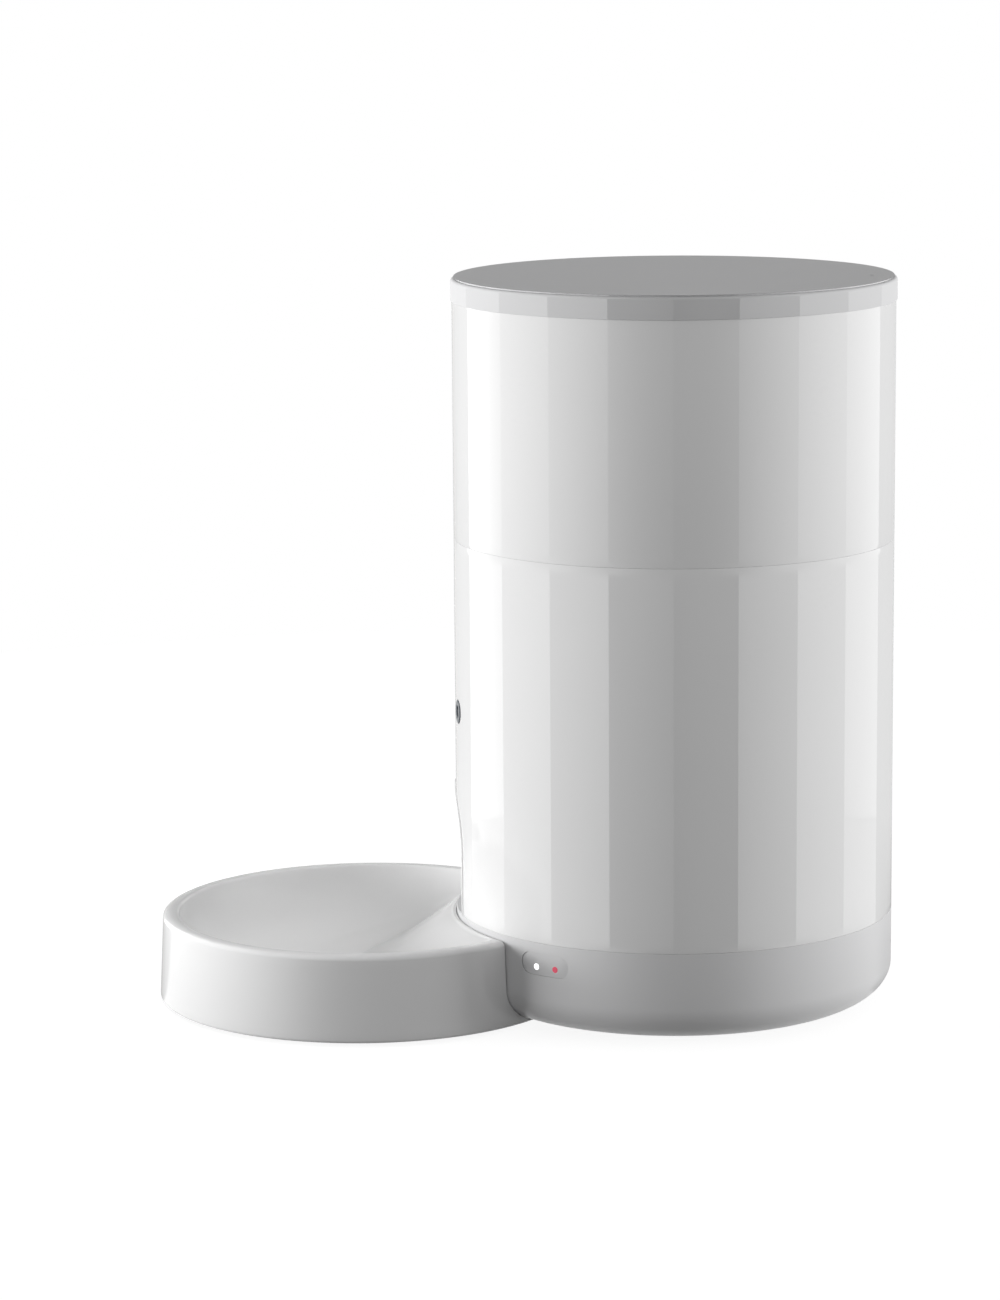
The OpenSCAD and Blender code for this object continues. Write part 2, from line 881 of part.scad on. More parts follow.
module speaker() {
    color(dark) translate([0, speaker_y, 0]) {
        disc(speaker_d / 2, floor_top, floor_top + speaker_h / 2);
        disc(speaker_d / 3, floor_top + speaker_h / 2 - weld, floor_top + speaker_h);
    }
}

// Backup power

module battery_box() {
    w = bay_w / 2;
    l = bay_len / 2;
    color(dark) translate([0, bay_y, 0]) difference() {
        block(-w - box_wall, w + box_wall, -l - box_wall, l + box_wall, floor_top, box_top);
        block(-w, w, -l, l, floor_top - over, box_top - box_wall);
    }
}

module battery_cells() {
    color("silver") for (i = [0 : cells - 1]) {
        translate([(i - (cells - 1) / 2) * cell_d, bay_y, cell_z]) bar_y(cell_d / 2 - 0.1, -cell_len / 2, cell_len / 2);
    }
}

module battery_contacts() {
    y = bay_len / 2 - contact_t;
    color("gold") for (side = [-1, 1]) translate([0, bay_y, 0]) {
        block(-bay_w / 2 + 2, bay_w / 2 - 2, side * (y + contact_t / 2) - contact_t / 2,
            side * (y + contact_t / 2) + contact_t / 2, cell_z - 6, cell_z + 6);
    }
}

// Pad on the door, level with the feet, that carries the weight of the cells
module door_pad() {
    color(dark) disc(door_pad_d / 2, 0, foot_h);
}

module battery_door() {
    half = door_w / 2;
    color(grey) {
        block(-half, half, door_front, hinge_y, foot_h, foot_h + door_t);
        translate([0, hinge_y, hinge_z]) {
            bar_x(hinge_r, -half, half);
            bar_x(hinge_pin_d / 2, -half - pin_len, half + pin_len);
        }
    }
}

// Food tank

module hopper_shell() {
    color(white) {
        ring(body_r, inner_r, tank_seam + snug, lid_z - snug);
        ring(inner_r + weld, inner_r - ledge_w, tank_ledge - ledge_t, tank_ledge);
        ring(spigot_r, inner_r - ledge_w, tank_seam - spigot_h, tank_ledge);
    }
}

// Straight liner above the funnel
module hopper_bin() {
    color(natural) ring(bin_r, bin_in, cone_top, lid_z - bin_rim_drop);
}

// Funnel that hangs on the ledge of the tank shell
module hopper_funnel() {
    foot_r = well_r + bin_wall;
    step_in = inner_r - ledge_w - snug;
    rise = (cone_top - well_top) / (bin_in - well_r);
    color(natural) rotate_extrude() polygon([
        [well_r, well_top],
        [foot_r, well_top],
        [step_in, well_top + (step_in - foot_r) * rise],
        [step_in, tank_ledge],
        [bin_r, tank_ledge],
        [bin_r, cone_top],
        [bin_in, cone_top]
    ]);
}

// Wall round the rotor
module rotor_well() {
    color(natural) ring(well_r + bin_wall, well_r, bin_floor, well_top);
}

// Plate under the rotor with the outlet and the hole for the drive dog
module well_floor() {
    color(natural) difference() {
        ring(well_r + bin_wall, dog_hole_r, bin_z, bin_floor);
        front_sector(outlet_in, outlet_out, outlet_half, bin_z - over, bin_floor + over);
    }
}

module outlet_baffle() {
    color(natural) front_sector(hub_r + 1.5, well_r - snug, baffle_half, baffle_z, baffle_z + baffle_t);
}

module wipers() {
    color(dark) for (side = [-1, 1]) rotate([0, 0, side * (baffle_half - 4)]) {
        block(-0.75, 0.75, -well_r + 1, -hub_r - 2.5, baffle_z - wiper_h, baffle_z);
    }
}

// Rotor

module at_paddles() {
    for (k = [0 : paddles - 1]) rotate([0, 0, k * 360 / paddles]) children();
}

module rotor() {
    color(natural) difference() {
        union() {
            disc(hub_r, rotor_z, hub_top);
            at_paddles() block(hub_r - 1, tip_r - tip_len, -paddle_t / 2, paddle_t / 2, rotor_z, paddle_top);
        }
        translate([0, 0, rotor_z - over])
            cylinder(h = dog_top - rotor_z + over + 0.5, d = dog_d + 2 * slide_gap, $fn = 6);
    }
}

module paddle_tips() {
    color(dark) at_paddles() {
        block(tip_r - tip_len, tip_r - tip_len / 2, -paddle_t / 2, paddle_t / 2, rotor_z, paddle_top);
        block(tip_r - tip_len / 2 - weld, tip_r, -paddle_t / 4, paddle_t / 4, rotor_z, paddle_top);
    }
}

// Cap on the hub with two stirring fingers that keep the food from bridging
module agitator() {
    color(natural) {
        rotate_extrude() polygon(concat(
            [[0, hub_top], [hub_r, hub_top]],
            edge(hub_r - 4, hub_top + 6, 4, 0, 90),
            [[0, hub_top + 10]]
        ));
        for (turn = [45, 225]) rotate([0, 0, turn]) translate([hub_r - 4, 0, hub_top + 6])
            rotate([0, 55, 0]) cylinder(h = well_r / 2, r = 2.5);
    }
}

// Lid

module lid() {
    color(grey) difference() {
        union() {
            difference() {
                rotate_extrude() polygon(concat(
                    [[0, lid_z], [lid_r, lid_z]],
                    edge(lid_r - lid_edge, body_h - lid_edge, lid_edge, 0, 90),
                    [[0, body_h]]
                ));
                disc(lid_r - skirt_w, lid_z - over, lid_under);
            }
            ring(plug_r, plug_r - plug_wall, plug_z, lid_under + weld);
        }
        rotate([0, 0, mark_turn]) translate([mark_r, 0, body_h - mark_depth]) linear_extrude(mark_depth + over)
            rotate([0, 0, 90]) pill(mark_len, mark_w);
    }
}

module lid_seal() {
    color("white") ring(bin_in - slide_gap, plug_r, seal_z, seal_z + seal_h);
}

module desiccant_box() {
    color(white) ring(desiccant_r, desiccant_r - desiccant_wall, desiccant_z, lid_under);
}

module desiccant_pack() {
    color("ivory") disc(desiccant_r - desiccant_wall - 1, desiccant_z + 4, lid_under);
}

module desiccant_cover() {
    hole_ring = desiccant_r / 2;
    color(white) difference() {
        union() {
            disc(desiccant_r, desiccant_z - slide_gap - cover_t, desiccant_z - slide_gap);
            ring(desiccant_r - desiccant_wall - slide_gap, desiccant_r - 2 * desiccant_wall - slide_gap,
                desiccant_z - slide_gap - weld, desiccant_z + 3);
        }
        for (turn = [0 : 30 : 330]) rotate([0, 0, turn]) translate([hole_ring, 0, 0])
            disc(1.6, desiccant_z - 2 * cover_t, desiccant_z + cover_t);
    }
}

// Bowl

module bowl_outside() {
    at_bowl() rotate_extrude() polygon(concat(
        [[0, foot_h]],
        quarter(bowl_r - foot_round, foot_h + foot_round, foot_round, foot_round, 4),
        edge(bowl_top_r - rim_round, bowl_h - rim_round, rim_round, 0, 90),
        [[0, bowl_h]]
    ));
}

// Cone round the base that the ramp of the dish lies on, drawn in by extra
module bowl_ramp(extra) {
    low = dish_z - 2 * bowl_wall;
    high = bowl_h + 2 * over;
    crest = body_r + bowl_gap + back_rim - extra * sqrt(1 + pow(ramp_run, 2));
    rotate_extrude() polygon([
        [0, low],
        [crest + ramp_run * (bowl_h - low), low],
        [crest + ramp_run * (bowl_h - high), high],
        [0, high]
    ]);
}

// Dish, grown by extra, stopped short of the base
module bowl_dish(extra) {
    lip = extra < rim_fillet
        ? edge(rim_in + rim_fillet, bowl_h - rim_fillet, rim_fillet - extra, 180, 90)
        : [[rim_in + extra, bowl_h]];
    difference() {
        at_bowl() rotate_extrude() polygon(concat(
            [[0, dish_z - extra]],
            quarter(dish_flat, bowl_h, rim_in - dish_flat + extra, bowl_h - dish_z + extra, 14, 85),
            lip,
            [[rim_in + max(rim_fillet, extra), bowl_h + over], [0, bowl_h + over]]
        ));
        bowl_ramp(extra);
    }
}

// Space under the moulding, between the dish and the outer wall
module bowl_underside() {
    difference() {
        at_bowl() rotate_extrude() polygon([
            [0, foot_h - over],
            [bowl_r - bowl_wall, foot_h - over],
            [bowl_top_r - bowl_wall, bowl_h - rim_round],
            [rim_in + bowl_wall, bowl_h - bowl_wall],
            [0, bowl_h - bowl_wall]
        ]);
        bowl_dish(bowl_wall - 0.01);
        base_solid(bowl_gap + bowl_wall, bowl_h + over);
        at_bowl() at_pads() disc(pad_boss_r, foot_h, bowl_h);
    }
}

module at_pads() {
    for (a = pad_turns) rotate([0, 0, a]) translate([pad_r, 0, 0]) children();
}

module bowl() {
    color(white) {
        difference() {
            bowl_outside();
            bowl_dish(0);
            bowl_underside();
            base_solid(bowl_gap, bowl_h + over);
        }
        block(-tongue_w / 2, tongue_w / 2, -body_r - bowl_gap - 1, -tongue_end, tongue_z, tongue_z + tongue_h);
    }
}

module bowl_pads() {
    color(dark) at_bowl() at_pads() disc(pad_d / 2, 0, foot_h);
}

base_tub();
lower_shell();
deck();
chute();
chute_sensors();
gearbox_case();
motor();
output_bush();
link_pin();
main_board();
camera_window();
camera_ring();
camera_barrel();
camera_board();
camera_bracket();
speaker();
microphone();
indicator_panel();
white_light();
red_light();
indicator_board();
power_inlet();
rear_board();
button_switch();
feet();
base_screws();
battery_box();
battery_cells();
battery_contacts();
hopper_shell();
hopper_bin();
hopper_funnel();
rotor_well();
well_floor();
outlet_baffle();
wipers();
rotor();
paddle_tips();
agitator();
output_gear();
link_gear();
motor_pinion();
lid();
lid_seal();
desiccant_box();
desiccant_pack();
desiccant_cover();
bowl();
bowl_pads();
battery_door();
door_pad();
reset_button();
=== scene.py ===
import math

import bmesh
import bpy
from mathutils import Matrix, Vector


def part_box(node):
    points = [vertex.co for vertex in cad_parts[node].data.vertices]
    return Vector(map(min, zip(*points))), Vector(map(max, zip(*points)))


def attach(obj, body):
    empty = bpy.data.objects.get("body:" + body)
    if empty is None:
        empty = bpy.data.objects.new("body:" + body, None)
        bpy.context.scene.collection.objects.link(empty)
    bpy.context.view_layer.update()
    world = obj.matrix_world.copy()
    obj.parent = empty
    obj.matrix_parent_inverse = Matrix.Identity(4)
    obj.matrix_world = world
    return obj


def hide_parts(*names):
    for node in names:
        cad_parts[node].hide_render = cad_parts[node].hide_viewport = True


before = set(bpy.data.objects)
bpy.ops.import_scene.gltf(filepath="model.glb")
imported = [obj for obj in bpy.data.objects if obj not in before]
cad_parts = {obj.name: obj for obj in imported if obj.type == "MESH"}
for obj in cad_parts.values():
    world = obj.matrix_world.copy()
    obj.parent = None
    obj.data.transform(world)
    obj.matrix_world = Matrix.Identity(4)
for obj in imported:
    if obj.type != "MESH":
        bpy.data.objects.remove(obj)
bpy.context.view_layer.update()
TANK_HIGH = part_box("hopper_shell")[1]
LID_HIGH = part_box("lid")[1]
BOWL_LOW, BOWL_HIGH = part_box("bowl")
BUTTON_LOW, BUTTON_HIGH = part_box("reset_button")
FOOT_PLACES = [(x, y) for x in (-0.04, 0.04) for y in (-0.046, 0.046)]
QUARTER = math.radians(90)

bl_info = {
    "name": "Round Pet Feeder",
    "version": (1, 0, 0),
    "blender": (4, 5, 0),
    "location": "View3D > Sidebar > Feeder",
    "description": "Models the visible pieces of a round pet feeder with a camera and a bowl",
    "category": "Add Mesh",
}


# Properties

def length(name, description, default):
    """Length in metres."""
    return bpy.props.FloatProperty(
        name=name, description=description, default=default, unit="LENGTH", precision=5)


def turn(name, description, degrees):
    """Angle whose default is given in degrees."""
    return bpy.props.FloatProperty(
        name=name, description=description, default=math.radians(degrees), subtype="ANGLE")


def power(name, description, default):
    """Power of a lamp in watts."""
    return bpy.props.FloatProperty(name=name, description=description, default=default, unit="POWER")


def portion(name, description, default):
    """Share between 0 and 1."""
    return bpy.props.FloatProperty(
        name=name, description=description, default=default, min=0.0, max=1.0, subtype="FACTOR")


def colour(name, description, default):
    """Opaque colour."""
    return bpy.props.FloatVectorProperty(
        name=name, description=description, default=(*default, 1.0),
        size=4, min=0.0, max=1.0, subtype="COLOR")


class FeederSizes(bpy.types.PropertyGroup):
    """Sizes of the feeder's visible pieces."""

    body_radius: length("Body radius", "Outside radius of the white body", TANK_HIGH[0])
    body_height: length("Body height", "Height of the top of the lid", LID_HIGH[2])
    wall: length("Wall", "Thickness of the moulded shells", 0.0025)
    base_top: length("Base top", "Height of the seam above the grey base", 0.0395)
    tank_seam: length("Tank seam", "Height of the seam under the food tank", 0.1935)
    seam_edge: length("Seam edge", "Rounding of the shell edges along a seam", 0.0003)
    hairline_edge: length("Hairline edge", "Rounding of the shell edges along the tank's seams", 0.0001)
    hairline: length("Hairline", "Gap between the food tank and what it meets", 0.00005)
    corner_width: length("Corner width", "Width of the rounded foot of the base", 0.0215)
    corner_height: length("Corner height", "Height of the rounded foot of the base", 0.0153)
    foot_height: length("Foot height", "Height of the rubber feet", 0.0015)
    floor_thickness: length("Floor thickness", "Thickness of the base floor", 0.003)
    lid_radius: length("Lid radius", "Outside radius of the lid", LID_HIGH[0])
    lid_bottom: length("Lid bottom", "Height of the lower edge of the lid", 0.2905)
    lid_edge: length("Lid edge", "Height of the rounded upper edge of the lid", 0.002)
    lid_plate: length("Lid plate", "Thickness of the lid's top", 0.003)
    lid_skirt: length("Lid skirt", "Width of the lid's hanging rim", 0.004)
    plug_radius: length("Plug radius", "Outside radius of the ring that plugs into the tank", 0.08375)
    plug_bottom: length("Plug bottom", "Height of the lower edge of the plug ring", 0.28)
    bowl_radius: length("Bowl radius", "Outside radius of the bowl at its foot", BOWL_HIGH[0])
    bowl_draft: length("Bowl draft", "How far the bowl draws in towards its rim", 0.0016)
    bowl_reach: length(
        "Bowl reach", "Distance from the body axis to the bowl axis", -BOWL_LOW[1] - BOWL_HIGH[0])
    bowl_height: length("Bowl height", "Height of the bowl rim", BOWL_HIGH[2] + 0.0005)
    rim_width: length("Rim width", "Width of the bowl rim", 0.0066)
    back_rim: length("Back rim", "Width of the rim along the base", 0.0019)
    bowl_gap: length("Bowl gap", "Gap between the bowl and the base", 0.0002)
    bowl_wall: length("Bowl wall", "Thickness of the bowl's wall", 0.0022)
    ramp_run: bpy.props.FloatProperty(
        name="Ramp run", description="Run of the ramp into the dish for each unit of drop", default=1.35)
    dish_height: length("Dish height", "Height of the dish floor", 0.008)
    dish_flat: length("Dish flat", "Radius of the flat middle of the dish", 0.04)
    arch_width: length("Arch width", "Width of the food outlet", 0.05)
    arch_top: length("Arch top", "Height of the crown of the food outlet", 0.09)
    arch_lip: length("Arch lip", "How far the lip round the food outlet stands out", 0.0005)
    lens_radius: length("Lens radius", "Radius of the camera window", 0.0047)
    lens_height: length("Lens height", "Height of the camera window", 0.1235)
    lens_turn: turn("Lens turn", "Turn of the camera window about the body axis", -77.5)
    panel_width: length("Panel width", "Width of the indicator panel", 0.0225)
    panel_height: length("Panel height", "Height of the indicator panel", 0.0085)
    panel_middle: length("Panel middle", "Height of the middle of the indicator panel", 0.0308)
    panel_turn: turn("Panel turn", "Turn of the indicator panel about the body axis", -35.2)
    light_radius: length("Light radius", "Radius of an indicator light", 0.0013)
    rear_height: length("Rear height", "Height of the inlet and the reset button", 0.026)
    button_place: length(
        "Button place", "Place of the reset button across the rear", (BUTTON_LOW[0] + BUTTON_HIGH[0]) / 2)
    voice_place: length("Voice hole place", "Place of the microphone hole across the rear", 0.012)


class FeederColours(bpy.types.PropertyGroup):
    """Colours of the feeder's finishes."""

    white_shell: colour("White shell", "Gloss white of the body", (0.84, 0.84, 0.84))
    white_bowl: colour("White bowl", "Satin white of the bowl", (0.89, 0.89, 0.89))
    grey_shell: colour("Grey shell", "Light grey of the base and the lid", (0.69, 0.69, 0.695))
    natural: colour("Natural plastic", "Milky plastic of the food path", (0.7, 0.7, 0.665))
    dark: colour("Dark plastic", "Black plastic of the inner cases", (0.02, 0.021, 0.023))
    gear: colour("Gear plastic", "Ivory plastic of the gears", (0.66, 0.62, 0.5))
    board: colour("Circuit board", "Green mask of the circuit boards", (0.012, 0.09, 0.04))
    rubber: colour("Rubber", "Black rubber of the feet", (0.016, 0.016, 0.017))
    silicone: colour("Silicone", "Pale silicone of the seals and paddle tips", (0.62, 0.62, 0.61))
    steel: colour("Steel", "Bare steel", (0.5, 0.5, 0.51))
    brass: colour("Brass", "Bare brass", (0.62, 0.43, 0.16))
    fabric: colour("Desiccant pack", "Woven skin of the desiccant pack", (0.72, 0.7, 0.65))
    glass: colour("Lens glass", "Dark glass of the camera window", (0.075, 0.092, 0.11))
    # Painted sheen: the lighter, bluer colour the lens takes where it is seen at a slant, standing in for its
    # coating's reflected hue.
    glass_edge_sheen: colour("Lens coating", "Faint hue of the lens coating seen at a slant", (0.1, 0.13, 0.16))
    white_light: colour("White light", "Lens of the white light", (0.9, 0.92, 0.95))
    white_glow: colour("White glow", "Glow of the white light", (1.0, 1.0, 1.0))
    red_light: colour("Red light", "Lens of the red light", (0.5, 0.06, 0.1))
    red_glow: colour("Red glow", "Glow of the red light", (1.0, 0.12, 0.2))


class FeederStage(bpy.types.PropertyGroup):
    """Strengths of the studio light."""

    front_power: power("Front softbox", "Power of the softbox in front of the bowl", 164.0)
    rear_power: power("Rear softbox", "Power of the softbox behind the feeder", 136.0)
    bowl_power: power("Bowl softbox", "Power of the narrow softbox over the bowl", 0.012)
    ambient: portion("Ambient", "Strength of the even light from all sides", 0.33)
    floor_tone: portion("Floor tone", "Part of the light that the floor throws back", 0.25)
    floor_glow: portion("Floor glow", "Brightness that the floor adds for the eye and in gloss", 0.9)


# Modelling

def begin():
    """Leave edit mode and clear the selection."""
    if bpy.context.mode != "OBJECT":
        bpy.ops.object.mode_set(mode="OBJECT")
    bpy.ops.object.select_all(action="DESELECT")


def pick(piece):
    """Make one piece the selected and active object."""
    begin()
    piece.select_set(True)
    bpy.context.view_layer.objects.active = piece


def named(piece, name):
    """Name a piece and its mesh."""
    piece.name = name
    piece.data.name = name
    return piece


def placed(piece, matrix):
    """Move a piece by a matrix and apply the move to its mesh."""
    pick(piece)
    piece.matrix_world = matrix
    bpy.ops.object.transform_apply(location=True, rotation=True, scale=True)
    return piece


def turned(name, profile, steps=224, closed=True):
    """Draw a profile of (radius, height) points and spin it round Z."""
    begin()
    bpy.ops.mesh.primitive_plane_add(size=0.001)
    piece = named(bpy.context.object, name)
    bpy.ops.object.mode_set(mode="EDIT")
    bpy.ops.mesh.select_all(action="SELECT")
    bpy.ops.mesh.merge(type="CENTER")
    bpy.ops.transform.translate(value=(profile[0][0], 0, profile[0][1]))
    route = profile + profile[:1] if closed else profile
    for (r0, z0), (r1, z1) in zip(route, route[1:]):
        bpy.ops.mesh.extrude_region_move(TRANSFORM_OT_translate={"value": (r1 - r0, 0, z1 - z0)})
    bpy.ops.mesh.select_all(action="SELECT")
    bpy.ops.mesh.remove_doubles(threshold=1e-7)
    bpy.ops.mesh.spin(steps=steps, angle=2 * math.pi, center=(0, 0, 0), axis=(0, 0, 1))
    bpy.ops.mesh.select_all(action="SELECT")
    bpy.ops.mesh.remove_doubles(threshold=1e-6)
    bpy.ops.mesh.normals_make_consistent(inside=False)
    bpy.ops.object.mode_set(mode="OBJECT")
    return piece


def prism(name, outline, depth):
    """Draw a closed outline in the XY plane, fill it and pull it up along Z."""
    begin()
    bpy.ops.mesh.primitive_circle_add(vertices=len(outline), radius=0.01, fill_type="NGON")
    piece = named(bpy.context.object, name)
    for vertex, (x, y) in zip(piece.data.vertices, outline):
        vertex.co = (x, y, 0)
    bpy.ops.object.mode_set(mode="EDIT")
    bpy.ops.mesh.select_all(action="SELECT")
    bpy.ops.mesh.extrude_region_move(TRANSFORM_OT_translate={"value": (0, 0, depth)})
    bpy.ops.mesh.select_all(action="SELECT")
    bpy.ops.mesh.normals_make_consistent(inside=False)
    bpy.ops.object.mode_set(mode="OBJECT")
    return piece


def lofted(name, rings):
    """Skin a stack of rings that all have the same number of points, closed at both ends."""
    mesh = bpy.data.meshes.new(name)
    piece = bpy.data.objects.new(name, mesh)
    bpy.context.collection.objects.link(piece)
    skin = bmesh.new()
    loops = [[skin.verts.new(point) for point in ring] for ring in rings]
    for low, high in zip(loops, loops[1:]):
        for i in range(len(low)):
            j = (i + 1) % len(low)
            skin.faces.new((low[i], low[j], high[j], high[i]))
    skin.faces.new(loops[0])
    skin.faces.new(loops[-1])
    bmesh.ops.recalc_face_normals(skin, faces=skin.faces)
    skin.to_mesh(mesh)
    skin.free()
    return piece


def slab(name, low, high):
    """Add a block between two corners."""
    begin()
    middle = [(a + b) / 2 for a, b in zip(low, high)]
    size = [b - a for a, b in zip(low, high)]
    bpy.ops.mesh.primitive_cube_add(size=1, location=middle, scale=size)
    bpy.ops.object.transform_apply(location=True, rotation=True, scale=True)
    return named(bpy.context.object, name)


def rod(name, radius, start, end, sides=48):
    """Add a round bar from one point to another."""
    begin()
    start, end = Vector(start), Vector(end)
    axis = (end - start).to_track_quat("Z", "Y").to_euler()
    bpy.ops.mesh.primitive_cylinder_add(
        vertices=sides, radius=radius, depth=(end - start).length, location=(start + end) / 2, rotation=axis)
    bpy.ops.object.transform_apply(location=True, rotation=True, scale=True)
    return named(bpy.context.object, name)


def joined(name, pieces):
    """Join pieces into the first one."""
    pick(pieces[0])
    for piece in pieces[1:]:
        piece.select_set(True)
    bpy.ops.object.join()
    return named(bpy.context.object, name)


def copied(piece, offset):
    """Copy a piece with its own mesh and move the copy."""
    pick(piece)
    bpy.ops.object.duplicate(linked=False)
    return placed(bpy.context.object, Matrix.Translation(offset))


def cut(piece, cutter, operation="DIFFERENCE"):
    """Apply a boolean of a cutter to a piece and remove the cutter."""
    pick(piece)
    bpy.ops.object.modifier_add(type="BOOLEAN")
    modifier = piece.modifiers[-1]
    modifier.operation = operation
    modifier.solver = "EXACT"
    modifier.object = cutter
    bpy.ops.object.modifier_apply(modifier=modifier.name)
    bpy.data.objects.remove(cutter)
    return piece


def softened(piece, width, segments=3, limit=40):
    """Round the sharp edges of a piece."""
    pick(piece)
    bpy.ops.object.modifier_add(type="BEVEL")
    modifier = piece.modifiers[-1]
    modifier.width = width
    modifier.segments = segments
    modifier.limit_method = "ANGLE"
    modifier.angle_limit = math.radians(limit)
    bpy.ops.object.modifier_apply(modifier=modifier.name)
    return piece


def settled(piece, body, finish, nodes=(), smooth=32):
    """Shade a finished piece, give it its finish and tie it to the frame."""
    pick(piece)
    bpy.ops.object.shade_smooth_by_angle(angle=math.radians(smooth))
    piece.data.materials.clear()
    piece.data.materials.append(finish)
    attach(piece, body)
    if nodes:
        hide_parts(*nodes)
    return piece


def arc(cx, cz, rx, rz, start, end, steps):
    """Points of an elliptic arc between two angles in degrees."""
    angles = [math.radians(start + (end - start) * i / steps) for i in range(steps + 1)]
    return [(cx + rx * math.cos(a), cz + rz * math.sin(a)) for a in angles]


def rounding(cx, cz, radius, start, end, steps):
    """Points of a round arc between two angles in degrees."""
    return arc(cx, cz, radius, radius, start, end, steps)


def wall_edges(out, low, low_edge, top, top_edge):
    """Outer side of a wall from its lower to its upper edge, both rounded."""
    side = rounding(out - low_edge, low + low_edge, low_edge, -90, 0, 3)
    return side + rounding(out - top_edge, top - top_edge, top_edge, 0, 90, 3)


def pill(width, height, steps=16):
    """Outline with round ends."""
    r = height / 2
    x = width / 2 - r
    return rounding(x, 0, r, -90, 90, steps) + rounding(-x, 0, r, 90, 270, steps)


def round_places(radius, angles, middle=(0.0, 0.0)):
    """Points on a circle at angles in degrees."""
    turns = [math.radians(angle) for angle in angles]
    return [(middle[0] + radius * math.cos(a), middle[1] + radius * math.sin(a)) for a in turns]


def radial(turn_angle, height, radius=0.0):
    """Frame on the body wall: X along the wall, Y up, Z outwards."""
    c, s = math.cos(turn_angle), math.sin(turn_angle)
    return Matrix(((-s, 0, c, radius * c), (c, 0, s, radius * s), (0, 1, 0, height), (0, 0, 0, 1)))


def wrapped(piece, turn_angle, height, radius):
    """Bend a flat piece round the body wall, its Z becoming the distance from the wall."""
    for vertex in piece.data.vertices:
        x, y, z = vertex.co
        a = turn_angle + x / radius
        vertex.co = ((radius + z) * math.cos(a), (radius + z) * math.sin(a), height + y)
    return piece


def sliced(piece, axis, places):
    """Bisect a piece across one axis so that it can bend."""
    pick(piece)
    bpy.ops.object.mode_set(mode="EDIT")
    for place in places:
        bpy.ops.mesh.select_all(action="SELECT")
        bpy.ops.mesh.bisect(plane_co=Vector(axis) * place, plane_no=axis)
    bpy.ops.object.mode_set(mode="OBJECT")
    return piece


def corner_radius(sizes, height, extra=0.0):
    """Radius of the base at a height, grown by extra."""
    flat = sizes.body_radius - sizes.corner_width
    top = sizes.foot_height + sizes.corner_height
    if height >= top:
        return sizes.body_radius + extra
    drop = min(1.0, (top - height) / (sizes.corner_height + extra))
    return flat + (sizes.corner_width + extra) * math.sqrt(1 - drop * drop)


# Finishes

def new_group(name, inputs, outputs):
    """Start a node group from its number inputs and defaults, and its outputs and their kinds."""
    tree = bpy.data.node_groups.new(name, "ShaderNodeTree")
    for label, default in inputs.items():
        socket = tree.interface.new_socket(name=label, in_out="INPUT", socket_type="NodeSocketFloat")
        socket.default_value = default
    for label, kind in outputs.items():
        tree.interface.new_socket(name=label, in_out="OUTPUT", socket_type="NodeSocket" + kind)
    return tree, tree.nodes.new("NodeGroupInput").outputs, tree.nodes.new("NodeGroupOutput").inputs


def feed(tree, socket, value):
    """Link a socket to another one, or set it to a plain value."""
    if isinstance(value, bpy.types.NodeSocket):
        tree.links.new(value, socket)
    else:
        socket.default_value = value


def object_place(tree):
    """Place on the piece in Object coordinates."""
    return tree.nodes.new("ShaderNodeTexCoord").outputs["Object"]


def math_node(tree, operation, *values):
    """Math on one or two values."""
    node = tree.nodes.new("ShaderNodeMath")
    node.operation = operation
    for socket, value in zip(node.inputs, values):
        feed(tree, socket, value)
    return node.outputs[0]


def range_node(tree, value, low, high, out_low, out_high, smooth=False):
    """Value moved from one range to another."""
    node = tree.nodes.new("ShaderNodeMapRange")
    node.interpolation_type = "SMOOTHSTEP" if smooth else "LINEAR"
    for socket, item in zip(node.inputs, (value, low, high, out_low, out_high)):
        feed(tree, socket, item)
    return node.outputs[0]


def noise_node(tree, vector, scale, detail=2.0):
    """Soft noise between 0 and 1."""
    node = tree.nodes.new("ShaderNodeTexNoise")
    feed(tree, node.inputs["Vector"], vector)
    feed(tree, node.inputs["Scale"], scale)
    feed(tree, node.inputs["Detail"], detail)
    return node.outputs[0]


def dot_node(tree, first, second):
    """Dot product of two vectors."""
    node = tree.nodes.new("ShaderNodeVectorMath")
    node.operation = "DOT_PRODUCT"
    feed(tree, node.inputs[0], first)
    feed(tree, node.inputs[1], second)
    return node.outputs["Value"]


def moulded_surface():
    """Group: slow tone drift, uneven gloss and fine grain of a moulded surface."""
    tree, entry, end = new_group(
        "moulded_surface",
        {"Grain Scale": 900.0, "Tone Spread": 0.015, "Roughness": 0.3, "Roughness Spread": 0.04},
        {"Tone": "Color", "Roughness": "Float", "Height": "Float"})
    drift_scale, gloss_scale = 14.0, 55.0
    place = object_place(tree)
    drift = noise_node(tree, place, drift_scale, 1.0)
    low = math_node(tree, "SUBTRACT", 1.0, entry["Tone Spread"])
    tone = range_node(tree, drift, 0.3, 0.7, low, 1.0)
    gloss = math_node(tree, "SUBTRACT", noise_node(tree, place, gloss_scale, 3.0), 0.5)
    spread = math_node(tree, "MULTIPLY", gloss, entry["Roughness Spread"])
    combine = tree.nodes.new("ShaderNodeCombineColor")
    for socket in combine.inputs:
        feed(tree, socket, tone)
    feed(tree, end["Tone"], combine.outputs[0])
    feed(tree, end["Roughness"], math_node(tree, "ADD", entry["Roughness"], spread))
    feed(tree, end["Height"], noise_node(tree, place, entry["Grain Scale"]))
    return tree


